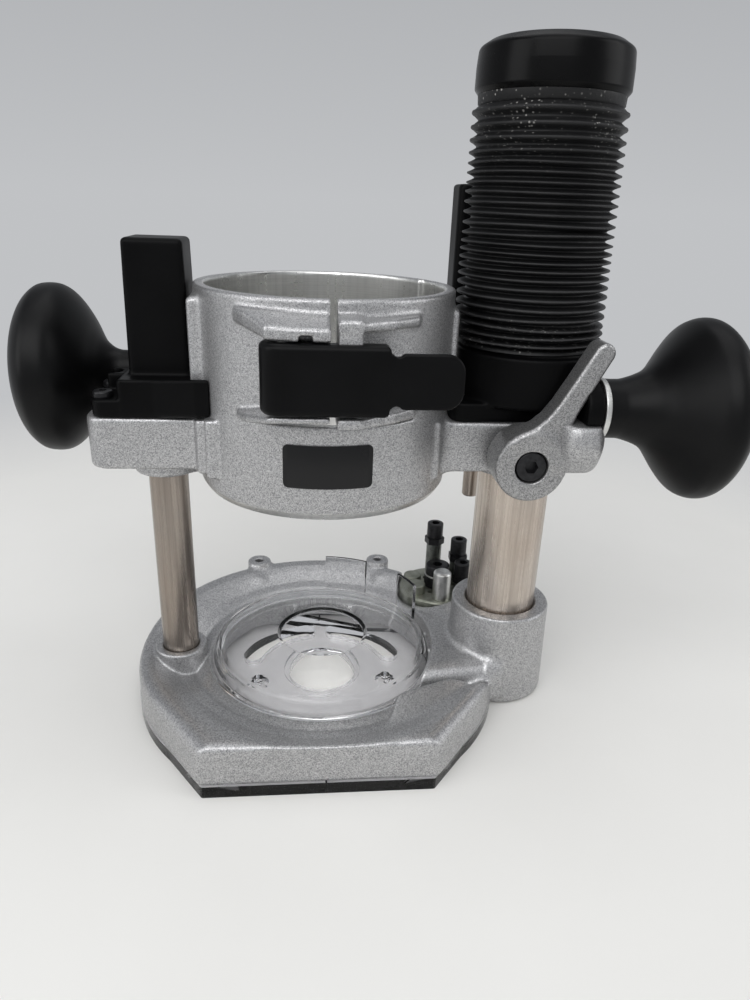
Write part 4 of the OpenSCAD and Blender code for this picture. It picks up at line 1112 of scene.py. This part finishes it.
def depth_stop():
    g = Grid((55, 38, 130), (83, 57, 214), 0.55)
    F = box(g, (56, 39, 130), (82, 56, 213.7), 3.0, 1.6)
    F = smax(F, -cyl(g, *ROD, 4.3, 100, 230), 0.4)
    F = smax(F, -box(g, (ROD[0] - 3.2, ROD[1], 145), (ROD[0] + 3.2, 60, 206), 1, 1), 0.4)
    F = smax(F, -cyl_x(g, ROD[1], 138, 2.6, ROD[0] + 2, 100), 0.3)
    for sy in (43, 51):
        F = smax(F, -cyl(g, 61, sy, 1.85, 120, 142), 0.2)
    done(solid("stop_tower", F, g), PLASTIC, "housing", "black_plastic", "depth_tower")
    prof = round_profile([(0, 74, 0), (3.4, 74, 0.2), (3.9, 74.6, 0.2), (3.9, 205, 0.8), (0, 205, 0)], 0.2)
    done(lathe("stop_rod_bar", prof, (*ROD, 0), seg=64), STEEL_S, "stop_rod", "column_steel", "depth_rod")
    plate = prism("scale_strip", [(58, 56.02), (69.2, 56.02), (69.2, 56.6), (58, 56.6)], 142, 208, bevel=0.15)
    ticks = []
    for k in range(31):
        w = 5.2 if k % 5 == 0 else 3.0
        z = 145 + 2.0 * k
        mark = [(69.0 - w, 56.58), (69.0, 56.58), (69.0, 56.66), (69.0 - w, 56.66)]
        ticks.append(prism("t", mark, z, z + 0.3, bevel=0))
    done(plate, PLATE, "housing", "bright_steel", "depth_plate")
    done(join("scale_ticks", *ticks), INK, "housing", "black_label")
    x0 = ROD[0] + 3.9 + 0.35
    stem = round_profile([(0, 0, 0), (2.5, 0, 0.2), (2.5, 5.5, 0), (4.5, 5.5, 0.3), (4.5, 7.4, 0), (0, 7.4, 0)], 0.2)
    stem = lathe("k", stem, (x0, ROD[1], 138), "X", 48)
    ring = []
    for i in range(108):
        a = 2 * math.pi * i / 108
        r = 8.0 - 0.75 * max(0.0, math.cos(9 * a)) ** 3
        ring.append((r * math.cos(a), r * math.sin(a)))
    head = prism("k", ring, 7.3, 15.4, (x0, ROD[1], 138), "X", 0.0)
    m = head.modifiers.new("b", "BEVEL")
    m.width, m.segments, m.limit_method, m.angle_limit = 0.7 * MM, 3, "ANGLE", math.radians(60)
    bake(head)
    done(join("stop_rod_knob", stem, sharp_smooth(head, 40)), PLASTIC, "knob", "black_plastic", "rod_knob")


# ---------------------------------------------------------------- lock lever


def lock_lever():
    g = Grid((59, -42, 105), (102, -25, 167), 0.45)
    x, y, z = g.x, g.y, g.z
    a = math.radians(62.4)
    u = (x - LOCK[0]) * math.cos(a) + (z - LOCK[1]) * math.sin(a)
    v = -(x - LOCK[0]) * math.sin(a) + (z - LOCK[1]) * math.cos(a)
    along, widths = [4, 9, 13, 18, 24, 34, 49], [11.5, 9.3, 6.9, 5.0, 4.1, 3.8, 3.6]
    half = np.interp(u.ravel(), along, widths).reshape(u.shape)
    arm2 = np.maximum(np.abs(v) - half, np.maximum(4 - u, u - 47.4))
    arm2 = np.minimum(arm2, np.hypot(u - 46.6, v) - 3.6)
    arm = join2(arm2 * 0.92 + 0 * y, slab(y, -40.6, -30.2), 1.4)
    hub = cyl_y(g, *LOCK, 13.2, -41, -26, 1.3)
    F = smin(hub, arm, 2.4)
    F = smax(F, -cyl_y(g, *LOCK, 5.0, -36, -10), 0.2)
    F = smax(F, -cyl_y(g, *LOCK, 2.6, -50, -10), 0.2)
    F = smax(F, -cyl_y(g, *LOCK, 6.1, -50, -36), 0.6)
    # The lever takes the darkened cast paint, which is painted shade.
    done(solid("lock_handle", F, g), SHADED_LEVER_CAST, "lock", "lever_metal", "lock_lever")
    ob = socket_screw("lock_socket_screw", (LOCK[0], -36.0, LOCK[1]), "-Y", 5.6, 4.4, 2.4, 0.05, 2.6, 0.6, 64)
    done(ob, OXIDE, "lock", "black_oxide", "lock_screw")


# ---------------------------------------------------------------- clamp lever


def clamp_lever():
    g = Grid((-24.5, -62.2, 141.7), (43.5, -46.5, 165.7), 0.4)
    x, y, z = g.x, g.y, g.z
    cy = CLAMP[1]
    face = cy - 7.2
    pin = np.hypot(x - CLAMP[0], y - cy)
    zc, zh = (142.4 + 165.2) / 2, (165.2 - 142.4) / 2
    pin_l = np.hypot(x - CLAMP[0] + 0.3, y - cy)
    bar = np.maximum(np.maximum(CLAMP[0] - 0.3 - x, x - 18.6), np.maximum(face - y, y - cy))
    outer = smin(pin_l - 7.2, bar, 0.1)
    body = join2(outer, np.abs(z - zc) - zh, 1.9)
    hollow = np.maximum(np.maximum(face + 2.2 - y, np.abs(z - zc) - (zh - 2.0)), x - 30)
    body = smax(body, -np.maximum(hollow, CLAMP[0] + 4.5 - x), 0.6)
    slot = np.minimum(pin - 4.6, np.maximum(slab(x, CLAMP[0] - 20, CLAMP[0] + 9), cy - 0.4 - y))
    slot = np.minimum(slot, np.maximum(slab(x, CLAMP[0], CLAMP[0] + 9), face + 2.4 - y))
    body = smax(body, -np.maximum(slot, slab(z, 150.7, 158.3)), 0.4)
    tab = join2(box2(x, z, (12, 145.2), (42.2, 163.0), 6.0) + 0 * y, slab(y, face + 0.2, face + 2.6), 0.8)
    F = smin(body, tab, 0.5)
    for zz in (144.4, 163.9):
        F = smax(F, -(np.hypot(x - 20.8, z - zz) - 2.0 + 0 * y), 0.4)
    F = smax(F, -(pin - 2.05 + 0 * z), 0.2)
    done(solid("clamp_handle", F, g), SHEET, "clamp", "black_coated_steel", "clamp_lever")
    prof = round_profile([(0, 140), (2.0, 140), (2.0, 168.1), (0, 168.1)], 0.3)
    done(lathe("clamp_hinge_pin", prof, (*CLAMP, 0), seg=48), BRIGHT, "housing", "bright_steel", "clamp_pin")


def label():
    prof = round_profile([(48.5, 113.6), (49.0, 113.6), (49.0, 129.2), (48.5, 129.2)], 0.12, 2)
    ob = lathe("blank_plate", prof, seg=64, sweep=(math.radians(-109.4), math.radians(-70.6)))
    w, h, r = 15.45, 7.75, 1.8
    pts = []
    for sx, sy, a0 in ((1, 1, 0), (-1, 1, 90), (-1, -1, 180), (1, -1, 270)):
        for a in (math.radians(a0 + b) for b in range(0, 91, 15)):
            pts.append((sx * (w - r) + r * math.cos(a), 121.4 + sy * (h - r) + r * math.sin(a)))
    boolean(ob, prism("cutter", pts, 40, 55, axis="-Y", bevel=0), "INTERSECT")
    done(sharp_smooth(ob, 40), LABEL, "housing", "black_label", "label_plate")


# ---------------------------------------------------------------- build

base_casting()
motor_housing()
sole_plate()
shroud()
columns()
plunge_spring()
turret()
left_cover()
bellows_base()
bellows()
handles()
depth_stop()
lock_lever()
clamp_lever()
label()

KEPT = {"sole_screws": OXIDE, "small_column_pin": OXIDE, "turret_pivot": BRIGHT,
        "small_bush": BRONZE, "large_bush": BRONZE, "handle_studs": BRIGHT, "tower_screws": OXIDE,
        "depth_pointer": RED, "lock_stud": BRIGHT, "lock_plug": BRONZE, "lock_spring": SPRING,
        "clamp_link": BRIGHT, "clamp_washer": BRIGHT, "clamp_nut": BRIGHT}
for node, mat in KEPT.items():
    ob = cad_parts[node]
    ob.data.materials.clear()
    ob.data.materials.append(mat)

# ---------------------------------------------------------------- floor, light, camera

bm = bmesh.new()
bmesh.ops.create_grid(bm, x_segments=8, y_segments=8, size=4.0)
floor_me = bpy.data.meshes.new("floor")
bm.to_mesh(floor_me)
bm.free()
floor = placed("floor", floor_me)
floor.location = (0, 0, -0.0003)
floor.data.materials.append(FLOOR)


AIM = Vector((0.0, 0.0, 0.1))


def softbox(name, at, size, power):
    """A rectangular area light that looks at the middle of the object."""
    light = bpy.data.lights.new(name, "AREA")
    light.shape = "RECTANGLE"
    light.size, light.size_y = size
    light.energy = power
    ob = placed(name, light)
    ob.location = at
    ob.rotation_euler = (AIM - Vector(at)).to_track_quat("-Z", "Y").to_euler()


softbox("key_front", (-0.3, -1.05, 1.15), (1.5, 1.1), 13.5)
softbox("top", (0.1, 0.15, 1.5), (1.4, 1.4), 7)
softbox("side_left", (-1.3, -0.5, 0.7), (0.8, 1.1), 6)
softbox("side_right", (1.3, -0.3, 0.7), (0.8, 1.1), 5)

world = bpy.data.worlds.new("studio")
bpy.context.scene.world = world
world.use_nodes = True
wt = world.node_tree
split = wt.nodes.new("ShaderNodeSeparateXYZ")
wt.links.new(wt.nodes.new("ShaderNodeTexCoord").outputs["Generated"], split.inputs[0])
sky = wt.nodes.new("ShaderNodeValToRGB")
sky.color_ramp.elements[0].position = 0.0
sky.color_ramp.elements[0].color = (*STUDIO, 1)
sky.color_ramp.elements[1].position = 0.75
sky.color_ramp.elements[1].color = (0.24, 0.25, 0.27, 1)
wt.links.new(split.outputs[2], sky.inputs[0])
wt.links.new(sky.outputs[0], wt.nodes["Background"].inputs[0])

cam = placed("camera", bpy.data.cameras.new("camera"))
pitch, yaw, roll = math.radians(22.32), math.radians(6.08), math.radians(2.21)
fwd = Vector((math.sin(yaw) * math.cos(pitch), math.cos(yaw) * math.cos(pitch), -math.sin(pitch)))
side = Vector((math.cos(yaw), -math.sin(yaw), 0))
up = side.cross(fwd)
r_axis = side * math.cos(roll) + up * math.sin(roll)
u_axis = -side * math.sin(roll) + up * math.cos(roll)
m = Matrix((r_axis, u_axis, -fwd)).transposed().to_4x4()
m.translation = Vector((-8.6, -283.51, 206.61)) * MM
cam.matrix_world = m
cam.data.sensor_fit = "AUTO"
cam.data.sensor_width = 36
cam.data.lens = 26.38
cam.data.clip_start = 0.01
bpy.context.scene.camera = cam
bpy.context.scene.view_settings.view_transform = "Standard"
